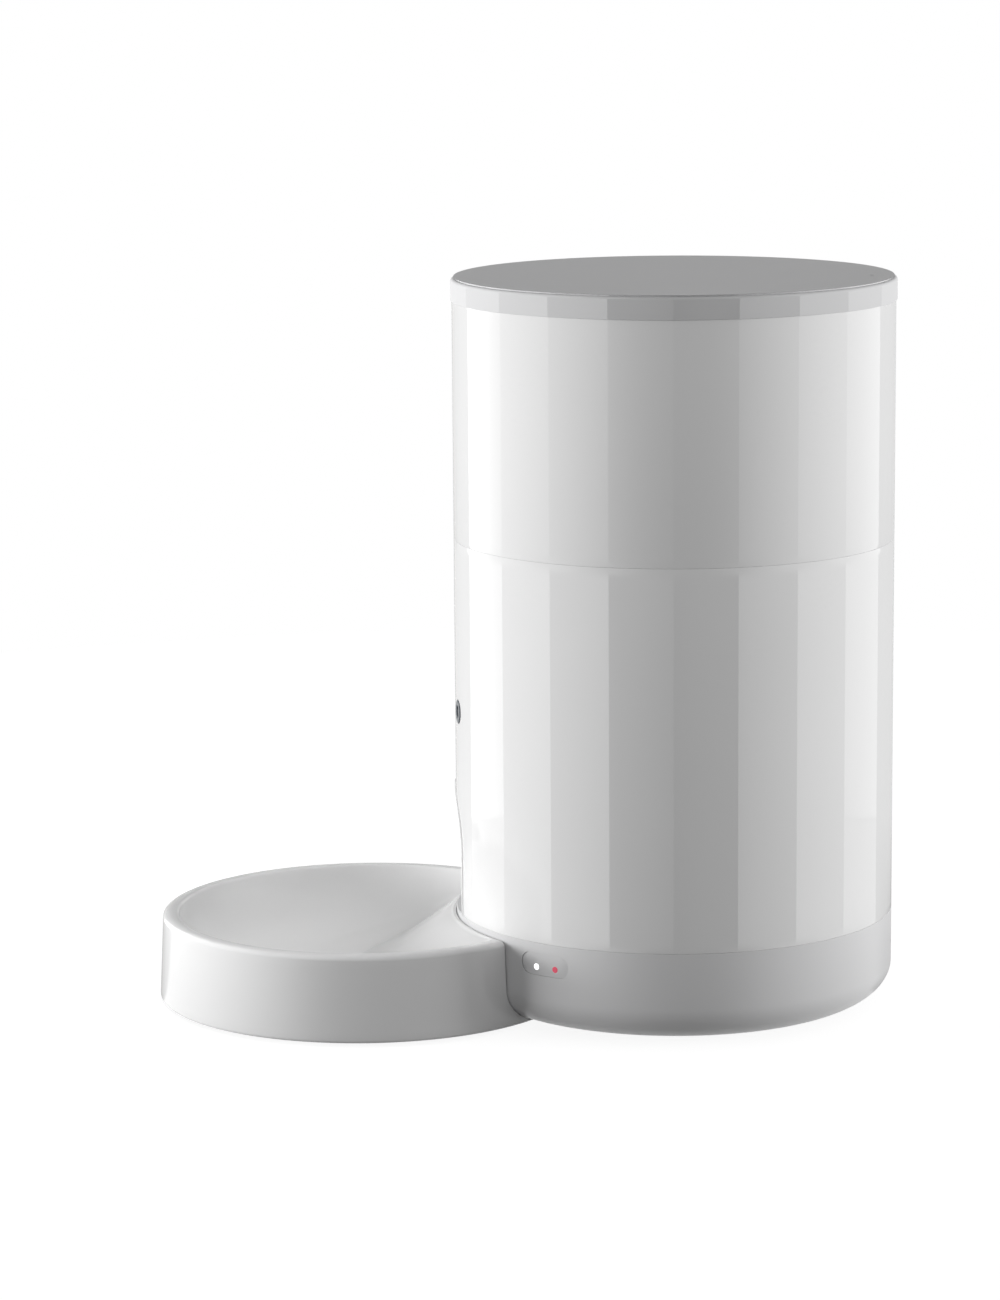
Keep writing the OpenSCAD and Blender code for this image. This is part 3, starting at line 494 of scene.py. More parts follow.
def panel_bands():
    """Group: normal of a wall that is drawn as upright flat panels between two heights."""
    tree, entry, end = new_group(
        "panel_bands",
        {"Panels": 22.0, "Strength": 0.7, "Low": 0.04, "High": 0.19, "Fade": 0.004},
        {"Normal": "Vector"})
    coords = tree.nodes.new("ShaderNodeTexCoord")
    normal = coords.outputs["Normal"]
    split = tree.nodes.new("ShaderNodeSeparateXYZ")
    feed(tree, split.inputs[0], coords.outputs["Object"])
    x, y, z = split.outputs
    step = math_node(tree, "DIVIDE", 2 * math.pi, entry["Panels"])
    index = math_node(tree, "FLOOR", math_node(tree, "DIVIDE", math_node(tree, "ARCTAN2", y, x), step))
    middle = math_node(tree, "MULTIPLY", math_node(tree, "ADD", index, 0.5), step)
    combine = tree.nodes.new("ShaderNodeCombineXYZ")
    feed(tree, combine.inputs[0], math_node(tree, "COSINE", middle))
    feed(tree, combine.inputs[1], math_node(tree, "SINE", middle))
    facing = combine.outputs[0]
    outer = range_node(tree, dot_node(tree, facing, normal), 0.9, 0.97, 0.0, 1.0, True)
    low_end = math_node(tree, "ADD", entry["Low"], entry["Fade"])
    high_start = math_node(tree, "SUBTRACT", entry["High"], entry["Fade"])
    lower = range_node(tree, z, entry["Low"], low_end, 0.0, 1.0, True)
    upper = range_node(tree, z, high_start, entry["High"], 1.0, 0.0, True)
    between = math_node(tree, "MULTIPLY", lower, upper)
    share = math_node(tree, "MULTIPLY", math_node(tree, "MULTIPLY", outer, between), entry["Strength"])
    blend = tree.nodes.new("ShaderNodeMix")
    blend.data_type = "VECTOR"
    feed(tree, blend.inputs["Factor"], share)
    feed(tree, blend.inputs[4], normal)
    feed(tree, blend.inputs[5], facing)
    world = tree.nodes.new("ShaderNodeVectorTransform")
    world.vector_type = "NORMAL"
    world.convert_from = "OBJECT"
    world.convert_to = "WORLD"
    feed(tree, world.inputs[0], blend.outputs[1])
    feed(tree, end["Normal"], world.outputs[0])
    return tree


def new_finish(name):
    """Start a material: itself, its node tree and its shader."""
    material = bpy.data.materials.new(name)
    material.use_nodes = True
    tree = material.node_tree
    return material, tree, tree.nodes["Principled BSDF"]


def bare_material(name):
    """Start a material without a shader: itself, its node tree and its surface socket."""
    material, tree, shader = new_finish(name)
    tree.nodes.remove(shader)
    return material, tree, tree.nodes["Material Output"].inputs["Surface"]


def grouped(tree, group, **values):
    """Place a node group with its own values."""
    node = tree.nodes.new("ShaderNodeGroup")
    node.node_tree = group
    for key, value in values.items():
        node.inputs[key.replace("_", " ").title()].default_value = value
    return node.outputs


def mixed(tree, first, second, share=1.0, blend="MIX"):
    """Mix two colours."""
    mix = tree.nodes.new("ShaderNodeMix")
    mix.data_type = "RGBA"
    mix.blend_type = blend
    feed(tree, mix.inputs["Factor"], share)
    feed(tree, mix.inputs[6], first)
    feed(tree, mix.inputs[7], second)
    return mix.outputs[2]


def toned(tree, base, tone):
    """Multiply a colour by a tone."""
    return mixed(tree, base, tone, blend="MULTIPLY")


def surfaced(tree, shader, base, surface, grain, tone, rough, spread):
    """Give a shader its colour and roughness through the surface group."""
    group = grouped(
        tree, surface, grain_scale=grain, tone_spread=tone, roughness=rough, roughness_spread=spread)
    feed(tree, shader.inputs["Base Color"], toned(tree, base, group["Tone"]))
    feed(tree, shader.inputs["Roughness"], group["Roughness"])
    return group


def bumped(tree, shader, height, distance, normal=None):
    """Give a shader a relief of a height, on top of a normal where there is one."""
    bump = tree.nodes.new("ShaderNodeBump")
    feed(tree, bump.inputs["Strength"], 1.0)
    feed(tree, bump.inputs["Distance"], distance)
    feed(tree, bump.inputs["Height"], height)
    if normal is not None:
        feed(tree, bump.inputs["Normal"], normal)
    feed(tree, shader.inputs["Normal"], bump.outputs[0])


def moulded(name, base, surface, rough, tone=0.015, grain=900.0, depth=2e-6, bands=None, specular=0.5):
    """Moulded plastic, rubber or silicone."""
    material, tree, shader = new_finish(name)
    group = surfaced(tree, shader, base, surface, grain, tone, rough, spread=0.04)
    bumped(tree, shader, group["Height"], depth, bands(tree) if bands else None)
    shader.inputs["Specular IOR Level"].default_value = specular
    return material


def banded(group, strength, low, high):
    """Give a finish the panel bands between two heights."""
    def link(tree):
        """Normal of the bands in one material's tree."""
        return grouped(tree, group, strength=strength, low=low, high=high)["Normal"]

    return link


def circuit_board(name, base, surface):
    """Solder mask with a raster of paler tracks."""
    material, tree, shader = new_finish(name)
    raster, track_width, depth = 240.0, 0.06, 2e-5
    tracks = tree.nodes.new("ShaderNodeTexBrick")
    feed(tree, tracks.inputs["Scale"], raster)
    feed(tree, tracks.inputs["Mortar Size"], track_width)
    for label, brightness in (("Color1", 1.0), ("Color2", 0.8), ("Mortar", 2.2)):
        shade = [min(1.0, channel * brightness) for channel in base[:3]]
        feed(tree, tracks.inputs[label], shade + [1.0])
    feed(tree, tracks.inputs["Vector"], object_place(tree))
    surfaced(tree, shader, tracks.outputs["Color"], surface, grain=1500.0, tone=0.1, rough=0.35, spread=0.1)
    bumped(tree, shader, tracks.outputs["Fac"], depth)
    return material


def brushed_metal(name, base, surface, rough):
    """Metal with fine lines along its length."""
    material, tree, shader = new_finish(name)
    line_scale, line_stretch, depth = 2600.0, 0.04, 4e-6
    surfaced(tree, shader, base, surface, grain=700.0, tone=0.06, rough=rough, spread=0.12)
    stretch = tree.nodes.new("ShaderNodeMapping")
    feed(tree, stretch.inputs["Scale"], (1.0, 1.0, line_stretch))
    feed(tree, stretch.inputs["Vector"], object_place(tree))
    bumped(tree, shader, noise_node(tree, stretch.outputs[0], line_scale, 3.0), depth)
    shader.inputs["Metallic"].default_value = 1.0
    return material


def woven(name, base, surface):
    """Paper-like woven skin."""
    material, tree, shader = new_finish(name)
    thread_scale, depth = 260.0, 1e-4
    surfaced(tree, shader, base, surface, grain=1200.0, tone=0.08, rough=0.8, spread=0.1)
    place = object_place(tree)
    threads = []
    for axis in ("X", "Y"):
        wave = tree.nodes.new("ShaderNodeTexWave")
        wave.bands_direction = axis
        feed(tree, wave.inputs["Scale"], thread_scale)
        feed(tree, wave.inputs["Vector"], place)
        threads.append(wave.outputs["Fac"])
    bumped(tree, shader, math_node(tree, "MULTIPLY", *threads), depth)
    return material


def lens_coating_sheen(name, base, edge, surface):
    """Dark glass whose thin coating takes a faint hue towards its edge, painted into the colour as a sheen
    that grows where the glass is seen at a slant.
    """
    material, tree, shader = new_finish(name)
    group = grouped(tree, surface, grain_scale=400.0, tone_spread=0.2, roughness=0.06, roughness_spread=0.02)
    # Painted sheen: the base colour turns lighter and bluer where the lens is seen at a slant.
    weight = tree.nodes.new("ShaderNodeLayerWeight")
    weight.inputs["Blend"].default_value = 0.35
    hue = mixed(tree, toned(tree, base, group["Tone"]), edge, weight.outputs["Facing"])
    feed(tree, shader.inputs["Base Color"], hue)
    feed(tree, shader.inputs["Roughness"], group["Roughness"])
    shader.inputs["Coat Weight"].default_value = 1.0
    shader.inputs["Coat Roughness"].default_value = 0.02
    return material


def glowing(name, base, glow, strength, surface):
    """Lens of an indicator light that glows."""
    material, tree, shader = new_finish(name)
    group = surfaced(tree, shader, base, surface, grain=1500.0, tone=0.06, rough=0.25, spread=0.05)
    feed(tree, shader.inputs["Emission Color"], toned(tree, glow, group["Tone"]))
    shader.inputs["Emission Strength"].default_value = strength
    return material


FINISHES = {}
INNER_FINISHES = {
    "natural": ("deck", "camera_bracket", "hopper_bin", "hopper_funnel", "rotor_well", "well_floor",
                "outlet_baffle", "rotor", "agitator"),
    "dark": ("chute_sensors", "gearbox_case", "camera_ring", "camera_barrel", "speaker", "microphone",
             "button_switch", "battery_box"),
    "white": ("desiccant_box", "desiccant_cover"),
    "grey": ("chute",),
    "gear": ("output_gear", "link_gear"),
    "board": ("main_board", "camera_board", "indicator_board", "rear_board"),
    "silicone": ("wipers", "paddle_tips", "lid_seal"),
    "steel": ("motor", "link_pin", "power_inlet", "base_screws", "battery_cells", "battery_contacts"),
    "brass": ("output_bush", "motor_pinion"),
    "fabric": ("desiccant_pack",),
}


class FEEDER_OT_finishes(bpy.types.Operator):
    """Build the finishes and put them on the inner pieces"""

    bl_idname = "feeder.finishes"
    bl_label = "Finishes"

    def execute(self, context):
        colours = context.scene.feeder_colours
        sizes = context.scene.feeder_sizes
        surface = moulded_surface()
        bands = panel_bands()
        shell_bands = banded(bands, strength=0.5, low=sizes.base_top, high=sizes.tank_seam - 0.001)
        tank_bands = banded(bands, strength=0.2, low=sizes.tank_seam, high=sizes.body_height)
        lid_bands = banded(bands, strength=0.62, low=sizes.lid_bottom - 0.004, high=sizes.body_height + 0.003)

        def plastic(name, base, rough, **values):
            """Moulded finish on the shared surface group."""
            return moulded(name, base, surface, rough, **values)

        white, grey = colours.white_shell, colours.grey_shell
        gloss = {"grain": 420.0, "depth": 1.2e-6}
        matt = {"grain": 1600.0, "depth": 4e-6}
        FINISHES.update({
            "white": plastic("white_shell", white, 0.07, **gloss),
            "white_satin": plastic("white_satin", colours.white_bowl, 0.14, grain=1200.0),
            "white_panels": plastic("white_shell_panels", white, 0.06, bands=shell_bands, **gloss),
            "white_tank": plastic("white_shell_tank", white, 0.06, bands=tank_bands, **gloss),
            "grey": plastic("grey_shell", grey, 0.34, **matt),
            "grey_panels": plastic("grey_shell_panels", grey, 0.72, bands=lid_bands, specular=0.2, **matt),
            "natural": plastic("natural_plastic", colours.natural, 0.42, tone=0.04, depth=4e-6),
            "dark": plastic("dark_plastic", colours.dark, 0.5, tone=0.15, grain=2200.0, depth=1e-5),
            "gear": plastic("gear_plastic", colours.gear, 0.38, tone=0.05, depth=3e-6),
            "rubber": plastic("rubber", colours.rubber, 0.75, tone=0.2, grain=2600.0, depth=2e-5),
            "silicone": plastic("silicone", colours.silicone, 0.55, tone=0.05, grain=1400.0, depth=6e-6),
            "board": circuit_board("circuit_board", colours.board, surface),
            "steel": brushed_metal("steel", colours.steel, surface, 0.32),
            "brass": brushed_metal("brass", colours.brass, surface, 0.3),
            "fabric": woven("desiccant_fabric", colours.fabric, surface),
            "glass": lens_coating_sheen("lens_glass", colours.glass, colours.glass_edge_sheen, surface),
            "light_white": glowing("light_white", colours.white_light, colours.white_glow, 1.2, surface),
            "light_red": glowing("light_red", colours.red_light, colours.red_glow, 0.3, surface),
        })
        for finish, nodes in INNER_FINISHES.items():
            for node in nodes:
                for material_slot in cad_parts[node].material_slots:
                    material_slot.material = FINISHES[finish]
        return {"FINISHED"}


# Pieces

class FEEDER_OT_lid(bpy.types.Operator):
    """Lid with a line under its upper edge, a plug ring and a small mark near its rear"""

    bl_idname = "feeder.lid"
    bl_label = "Lid"

    def execute(self, context):
        sizes = context.scene.feeder_sizes
        top, low, rim = sizes.body_height, sizes.lid_bottom, sizes.lid_radius
        edge, soft = sizes.lid_edge, sizes.hairline_edge
        under, skirt = top - sizes.lid_plate, rim - sizes.lid_skirt
        plug, plug_low = sizes.plug_radius, sizes.plug_bottom
        plug_wall, plug_edge = 0.002, 0.0006
        line_top, line_low, line_deep = top - 0.0002, top - 0.00065, 0.0008
        ring = edge - (top - line_low)
        disc = rim - ring
        face_loop, outer_loop, under_loop = 0.02, 0.06, 0.03
        profile = [(0, top), (face_loop, top), (outer_loop, top), (disc, top)]
        profile += [(disc - line_deep, line_top), (disc - line_deep, line_low)]
        profile += rounding(disc, top - edge, ring, 90, 0, 8)
        profile += rounding(rim - soft, low + soft, soft, 0, -90, 3)
        profile += [(skirt, low), (skirt, under), (plug, under)]
        profile += rounding(plug - plug_edge, plug_low + plug_edge, plug_edge, 0, -90, 3)
        profile += rounding(plug - plug_wall + plug_edge, plug_low + plug_edge, plug_edge, 270, 180, 3)
        profile += [(plug - plug_wall, under), (under_loop, under), (0, under)]
        piece = turned("lid_shell", profile, closed=False)
        mark_length, mark_width, mark_depth, cutter_height = 0.0065, 0.002, 0.00015, 0.002
        mark_radius, mark_turn = 0.0802, math.radians(84)
        mark = prism("mark_cutter", pill(mark_length, mark_width), cutter_height)
        spot = Matrix.Translation((mark_radius, 0, top - mark_depth)) @ Matrix.Rotation(QUARTER, 4, "Z")
        cut(piece, placed(mark, Matrix.Rotation(mark_turn, 4, "Z") @ spot))
        settled(piece, "lid", FINISHES["grey_panels"], ["lid"])
        return {"FINISHED"}


class FEEDER_OT_tank(bpy.types.Operator):
    """White shell of the lift-off food tank with its ledge and spigot"""

    bl_idname = "feeder.tank"
    bl_label = "Tank shell"

    def execute(self, context):
        sizes = context.scene.feeder_sizes
        inner, soft = sizes.body_radius - sizes.wall, sizes.hairline_edge
        low, top = sizes.tank_seam + sizes.hairline, sizes.lid_bottom - sizes.hairline
        ledge, throat = sizes.tank_seam + 0.0045, inner - 0.003
        spigot, foot = inner - 0.0003, low - 0.00765
        bevel_in, bevel_in_height = 0.0005, 0.00065
        bevel_out, bevel_out_height = 0.0006, 0.00085
        profile = wall_edges(sizes.body_radius, low, soft, top, soft)
        profile += [(inner, top), (inner, ledge), (throat, ledge), (throat, foot + bevel_in_height)]
        profile += [(throat + bevel_in, foot), (spigot - bevel_out, foot)]
        profile += [(spigot, foot + bevel_out_height), (spigot, low)]
        piece = turned("tank_shell", profile)
        settled(piece, "tank", FINISHES["white_tank"], ["hopper_shell"])
        return {"FINISHED"}


class FEEDER_OT_lower_shell(bpy.types.Operator):
    """White lower shell with the arched food outlet, its lip and the camera hole"""

    bl_idname = "feeder.lower_shell"
    bl_label = "Lower shell"

    def arch(self, sizes, extra):
        """Block in the shape of the food outlet, grown by extra."""
        start, depth, below = 0.05, 0.05, 0.002
        half, low = sizes.arch_width / 2 + extra, sizes.base_top - below
        outline = [(-half, low), (half, low)]
        outline += rounding(0, sizes.arch_top - sizes.arch_width / 2, half, 0, 180, 64)
        upright = Matrix.Translation((0, -start, 0)) @ Matrix.Rotation(QUARTER, 4, "X")
        return placed(prism("arch_block", outline, depth), upright)

    def execute(self, context):
        sizes = context.scene.feeder_sizes
        out, inner = sizes.body_radius, sizes.body_radius - sizes.wall
        low, top = sizes.base_top, sizes.tank_seam
        rib, rib_low, rib_top = inner - 0.003, 0.097, 0.1
        profile = wall_edges(out, low, sizes.seam_edge, top, sizes.hairline_edge)
        profile += [(inner, top), (inner, rib_top), (rib, rib_top)]
        profile += [(rib, rib_low), (inner, rib_low), (inner, low)]
        piece = turned("lower_shell_wall", profile)
        wall_cut, lip_width, lip_edge, lip_top = 0.0005, 0.0011, 0.00012, 0.1
        cut(piece, self.arch(sizes, wall_cut))
        bore, bore_start, bore_end = sizes.lens_radius + 0.0003, 0.08, 0.1
        lens = rod("lens_cutter", bore, (0, 0, bore_start), (0, 0, bore_end))
        cut(piece, placed(lens, radial(sizes.lens_turn, sizes.lens_height)))
        near, far, foot = inner + 0.0002, out + sizes.arch_lip, low + 0.0001
        ring = turned("arch_lip", [(near, foot), (far, foot), (far, lip_top), (near, lip_top)])
        cut(ring, self.arch(sizes, lip_width), "INTERSECT")
        cut(ring, self.arch(sizes, 0.0))
        piece = joined("lower_shell_wall", [piece, softened(ring, lip_edge, 2)])
        settled(piece, "housing", FINISHES["white_panels"], ["lower_shell"])
        return {"FINISHED"}


class FEEDER_OT_base(bpy.types.Operator):
    """Grey base with its rounded foot, openings, sunk screws and sound holes"""

    bl_idname = "feeder.base"
    bl_label = "Base"

    def shell(self, sizes, inner, inside):
        """Tub with its rounded foot and the lip that holds the lower shell."""
        out, soft = sizes.body_radius, sizes.seam_edge
        foot, top = sizes.foot_height, sizes.base_top
        flat, bend = out - sizes.corner_width, foot + sizes.corner_height
        hollow_width = sizes.corner_width - sizes.wall
        hollow_height = sizes.corner_height - sizes.floor_thickness
        lip, lip_in = inner - 0.00015, inner - 0.00265
        lip_top, lip_root, lip_edge = top + 0.004, top - 0.002, 0.0004
        floor_loop = 0.03
        profile = [(0, foot), (floor_loop, foot)]
        profile += arc(flat, bend, sizes.corner_width, sizes.corner_height, -90, 0, 28)
        profile += rounding(out - soft, top - soft, soft, 0, 90, 3)
        profile += [(lip, top), (lip, lip_top - lip_edge), (lip - lip_edge, lip_top), (lip_in, lip_top)]
        profile += [(lip_in, lip_root), (inner, lip_root)]
        profile += arc(flat, bend, hollow_width, hollow_height, 0, -90, 14)
        profile += [(0, inside)]
        return turned("base_shell", profile, closed=False)

    def below(self, sizes, inside):
        """Cutters from below: the battery bay, screws, seats of the feet and sound holes."""
        low, high = -0.001, inside + 0.001
        bay_half, bay_front, bay_rear = 0.0398, -0.0253, 0.0273
        screw_ring, screw_radius, screw_top = 0.066, 0.0033, 0.0055
        seat_radius, seat_top = 0.00615, sizes.foot_height + 0.0006
        speaker, sound_ring, sound_radius = (0, 0.05), 0.007, 0.0009
        cutters = [slab("bay", (-bay_half, bay_front, low), (bay_half, bay_rear, high))]
        for x, y in round_places(screw_ring, (60, 120, 240, 300)):
            cutters.append(rod("screw_hole", screw_radius, (x, y, low), (x, y, screw_top)))
        for x, y in FOOT_PLACES:
            cutters.append(rod("foot_seat", seat_radius, (x, y, low), (x, y, seat_top)))
        for x, y in round_places(sound_ring, range(0, 360, 45), speaker) + [speaker]:
            cutters.append(rod("sound_hole", sound_radius, (x, y, low), (x, y, high), 24))
        return cutters

    def around(self, sizes, inner):
        """Cutters from the sides: power inlet, button, voice hole, indicator, tongue and chute."""
        out, top, rear = sizes.body_radius, sizes.base_top, sizes.rear_height
        start, depth, hole_start, hole_end = inner - 0.004, 0.01, 0.08, 0.092
        inlet_width, inlet_height, button_radius, voice_radius = 0.011, 0.0052, 0.0033, 0.0006
        panel_gap = 0.0006
        slot_low, slot_high = (-0.0185, -out - 0.001, 0.007), (0.0185, -0.078, 0.012)
        way_low, way_high = (-0.027, -out, top), (0.027, -0.045, top + 0.005)
        inlet = prism("inlet", pill(inlet_width, inlet_height), depth)
        cutters = [placed(inlet, radial(QUARTER, rear, start))]
        for x, radius in ((sizes.button_place, button_radius), (sizes.voice_place, voice_radius)):
            cutters.append(rod("rear_hole", radius, (x, hole_start, rear), (x, hole_end, rear)))
        outline = pill(sizes.panel_width + panel_gap, sizes.panel_height + panel_gap)
        window = prism("window", outline, depth)
        cutters.append(placed(window, radial(sizes.panel_turn, sizes.panel_middle, start)))
        cutters.append(slab("tongue_slot", slot_low, slot_high))
        cutters.append(slab("chute_way", way_low, way_high))
        return cutters

    def execute(self, context):
        sizes = context.scene.feeder_sizes
        inner = sizes.body_radius - sizes.wall
        inside = sizes.foot_height + sizes.floor_thickness
        piece = self.shell(sizes, inner, inside)
        cut(piece, joined("base_cutter", self.below(sizes, inside) + self.around(sizes, inner)))
        settled(piece, "housing", FINISHES["grey"], ["base_tub"])
        return {"FINISHED"}


def bowl_ring(sizes, rim, back, height, fillet):
    """Closed section of the bowl: a circle with the base cut out of it and its two horns rounded."""
    reach = sizes.bowl_reach
    near, far = rim - fillet, back + fillet
    y = (near * near - far * far - reach * reach) / (2 * reach)
    x = math.sqrt(max(0.0, far * far - y * y))
    front = math.atan2(y + reach, x)
    rear = math.atan2(-y, -x)
    side = math.atan2(y, x)

    def sweep(cx, cy, radius, start, end, steps):
        """Points of an arc between two angles in radians, without its last one."""
        angles = [start + (end - start) * i / steps for i in range(steps)]
        return [(cx + radius * math.cos(a), cy + radius * math.sin(a), height) for a in angles]

    points = sweep(x, y, fillet, rear, front, 8)
    points += sweep(0, -reach, rim, front, -math.pi - front, 150)
    points += sweep(-x, y, fillet, math.pi - front, math.pi - rear, 8)
    points += sweep(0, 0, back, -math.pi - side, side, 64)
    return points


def pad_places(sizes):
    """Middles of the three pads under the bowl."""
    inset = 0.014
    radius = sizes.bowl_radius - sizes.bowl_wall - inset
    return round_places(radius, (210, 270, 330), (0, -sizes.bowl_reach))


class FEEDER_OT_bowl(bpy.types.Operator):
    """Bowl moulded round the front of the base, with a ramp under the outlet and a tongue"""

    bl_idname = "feeder.bowl"
    bl_label = "Bowl"

    def underside(self, sizes, rim, inner):
        """Hollow under the moulding, between the dish, the outer wall and the wall along the base."""
        top, wall = sizes.bowl_height, sizes.bowl_wall
        low, high, rim_drop, boss = -0.001, top + 0.001, 0.0032, 0.0058
        shift = Matrix.Translation((0, -sizes.bowl_reach, 0))
        profile = [(0, low), (sizes.bowl_radius - wall, low), (rim - wall, top - rim_drop)]
        profile += [(inner + wall, top - wall), (0, top - wall)]
        hollow = placed(turned("hollow", profile, 96, False), shift)
        flat = sizes.dish_flat
        profile = [(0, sizes.dish_height - wall)]
        profile += arc(flat, top, inner - flat + wall, top - sizes.dish_height + wall, -90, -5, 16)
        profile += [(inner + wall, high), (0, high)]
        dish = placed(turned("grown_dish", profile, 96, False), shift)
        crest = self.crest(sizes) - wall * math.sqrt(1 + sizes.ramp_run ** 2)
        ramp_foot, ramp_peak = 0.003, top + 0.003
        profile = [(0, ramp_foot), (crest + sizes.ramp_run * (top - ramp_foot), ramp_foot)]
        profile += [(crest + sizes.ramp_run * (top - ramp_peak), ramp_peak), (0, ramp_peak)]
        cut(dish, turned("grown_ramp", profile, 128, False))
        cut(hollow, dish)
        flat, extra = sizes.body_radius - sizes.corner_width, sizes.bowl_gap + wall
        bend = sizes.foot_height + sizes.corner_height
        profile = [(0, sizes.foot_height - extra)]
        profile += arc(flat, bend, sizes.corner_width + extra, sizes.corner_height + extra, -90, 0, 20)
        profile += [(sizes.body_radius + extra, high), (0, high)]
        cut(hollow, turned("grown_base", profile, 128, False))
        for x, y in pad_places(sizes):
            cut(hollow, rod("boss", boss, (x, y, low - 0.001), (x, y, high)))
        return hollow

    def crest(self, sizes):
        """Radius of the upper edge of the ramp about the body axis."""
        return sizes.body_radius + sizes.bowl_gap + sizes.back_rim

    def rings(self, sizes, rim, inner):
        """Sections of the bowl from its foot up the outside, over the rim and down into the dish."""
        foot, top, crest = sizes.foot_height, sizes.bowl_height, self.crest(sizes)
        heel, heel_draw = 0.0015, 0.0004
        round_out, crown, round_back = 0.0021, 0.0036, 0.0003
        round_in, ramp_draw = 0.0013, 0.0005
        horn, horn_inside, horn_growth = 0.0012, 0.003, 0.42
        sweep_start, sweep_rate = 0.016, 50
        wall_steps, edge_steps, dish_steps, dish_start = 12, 8, 24, 85

        def outside(radius, height, extra=0.0):
            """Section that follows the outer wall and the base."""
            back = corner_radius(sizes, height, sizes.bowl_gap) + extra
            return bowl_ring(sizes, radius, back, height, horn)

        def inside(radius, height, extra=0.0):
            """Section that follows the dish and the ramp."""
            drop = top - height
            sweep = max(0.0, drop - sweep_start) ** 2 * sweep_rate
            back = crest + sizes.ramp_run * drop + sweep + extra
            return bowl_ring(sizes, radius, back, height, horn_inside + horn_growth * drop)

        rings = []
        for r, z in rounding(sizes.bowl_radius - heel, foot + heel, heel, -90, 0, 5):
            rings.append(outside(r, z, heel_draw * (foot + heel - z) / heel))
        for i in range(1, wall_steps):
            share = i / wall_steps
            height = foot + heel + (top - round_out - foot - heel) * share
            rings.append(outside(sizes.bowl_radius - sizes.bowl_draft * share, height))
        for i in range(edge_steps + 1):
            a = QUARTER * i / edge_steps
            height = top - round_out + round_out * math.sin(a)
            rings.append(outside(rim - crown + crown * math.cos(a), height, round_back * (1 - math.cos(a))))
        for i in range(edge_steps + 1):
            a = QUARTER - QUARTER * i / edge_steps
            height = top - round_in + round_in * math.sin(a)
            draw = -ramp_draw * (1 - math.cos(a)) - sizes.ramp_run * (top - height) * math.sin(a)
            rings.append(inside(inner + round_in - round_in * math.cos(a), height, draw))
        for i in range(1, dish_steps + 1):
            a = math.radians(dish_start - dish_start * i / dish_steps)
            radius = sizes.dish_flat + (inner - sizes.dish_flat) * math.sin(a)
            rings.append(inside(radius, top - (top - sizes.dish_height) * math.cos(a)))
        return rings

    def execute(self, context):
        sizes = context.scene.feeder_sizes
        rim = sizes.bowl_radius - sizes.bowl_draft
        inner = rim - sizes.rim_width
        piece = lofted("bowl_dish", self.rings(sizes, rim, inner))
        cut(piece, self.underside(sizes, rim, inner))
        half, front, rear, low, high, edge = 0.018, -0.0925, -0.08, 0.0075, 0.0115, 0.0007
        tongue = softened(slab("tongue", (-half, front, low), (half, rear, high)), edge)
        piece = joined("bowl_dish", [piece, tongue])
        settled(piece, "bowl", FINISHES["white_satin"], ["bowl"], smooth=40)
        return {"FINISHED"}


class FEEDER_OT_camera(bpy.types.Operator):
    """Camera window: a dark mask ring round a domed lens"""

    bl_idname = "feeder.camera_window"
    bl_label = "Camera window"

    def execute(self, context):
        sizes = context.scene.feeder_sizes
        spot = radial(sizes.lens_turn, sizes.lens_height, sizes.body_radius)
        r, front, back = sizes.lens_radius, 0.0004, -0.0014
        pupil, edge, pupil_edge = r * 0.55, 0.0003, 0.0004
        profile = [(pupil, back), (r, back)] + rounding(r - edge, front - edge, edge, 0, 90, 4)
        profile += rounding(pupil + pupil_edge, front - pupil_edge, pupil_edge, 90, 180, 4)
        mask = placed(turned("camera_mask", profile, steps=96), spot)
        settled(mask, "housing", FINISHES["glass"], ["camera_window"])
        dome, dome_back, dome_foot, dome_height = pupil - 0.0001, back + 0.0002, back + 0.0004, 0.0011
        profile = [(0, dome_back), (dome, dome_back)] + arc(0, dome_foot, dome, dome_height, 0, 90, 10)
        lens = placed(turned("camera_dome", profile, steps=64, closed=False), spot)
        settled(lens, "housing", FINISHES["glass"])
        return {"FINISHED"}


class FEEDER_OT_indicator(bpy.types.Operator):
    """Indicator panel let into the base, with a white and a red light"""

    bl_idname = "feeder.indicator"
    bl_label = "Indicator panel"

    def execute(self, context):
        sizes = context.scene.feeder_sizes
        out = sizes.body_radius
        overlap, thickness, back, edge, slices = 0.0005, 0.0024, -0.00265, 0.0001, 16
        outline = pill(sizes.panel_width + overlap, sizes.panel_height + overlap, 24)
        panel = placed(prism("indicator_plate", outline, thickness), Matrix.Translation((0, 0, back)))
        softened(panel, edge, 2)
        sliced(panel, (1, 0, 0), [sizes.panel_width * (i / slices - 0.5) for i in range(1, slices)])
        wrapped(panel, sizes.panel_turn, sizes.panel_middle, out)
        settled(panel, "housing", FINISHES["grey"], ["indicator_panel"])
        r, root, dome, drop = sizes.light_radius, -0.002, 0.0003, 0.0012
        profile = [(0, root), (r, root)] + arc(0, -dome, r, dome, 0, 90, 8)
        for name, shift, finish in (("white", -0.0039, "light_white"), ("red", 0.0053, "light_red")):
            light = turned(name + "_lens", profile, steps=48, closed=False)
            placed(light, radial(sizes.panel_turn + shift / out, sizes.panel_middle - drop, out))
            settled(light, "housing", FINISHES[finish], [name + "_light"])
        return {"FINISHED"}


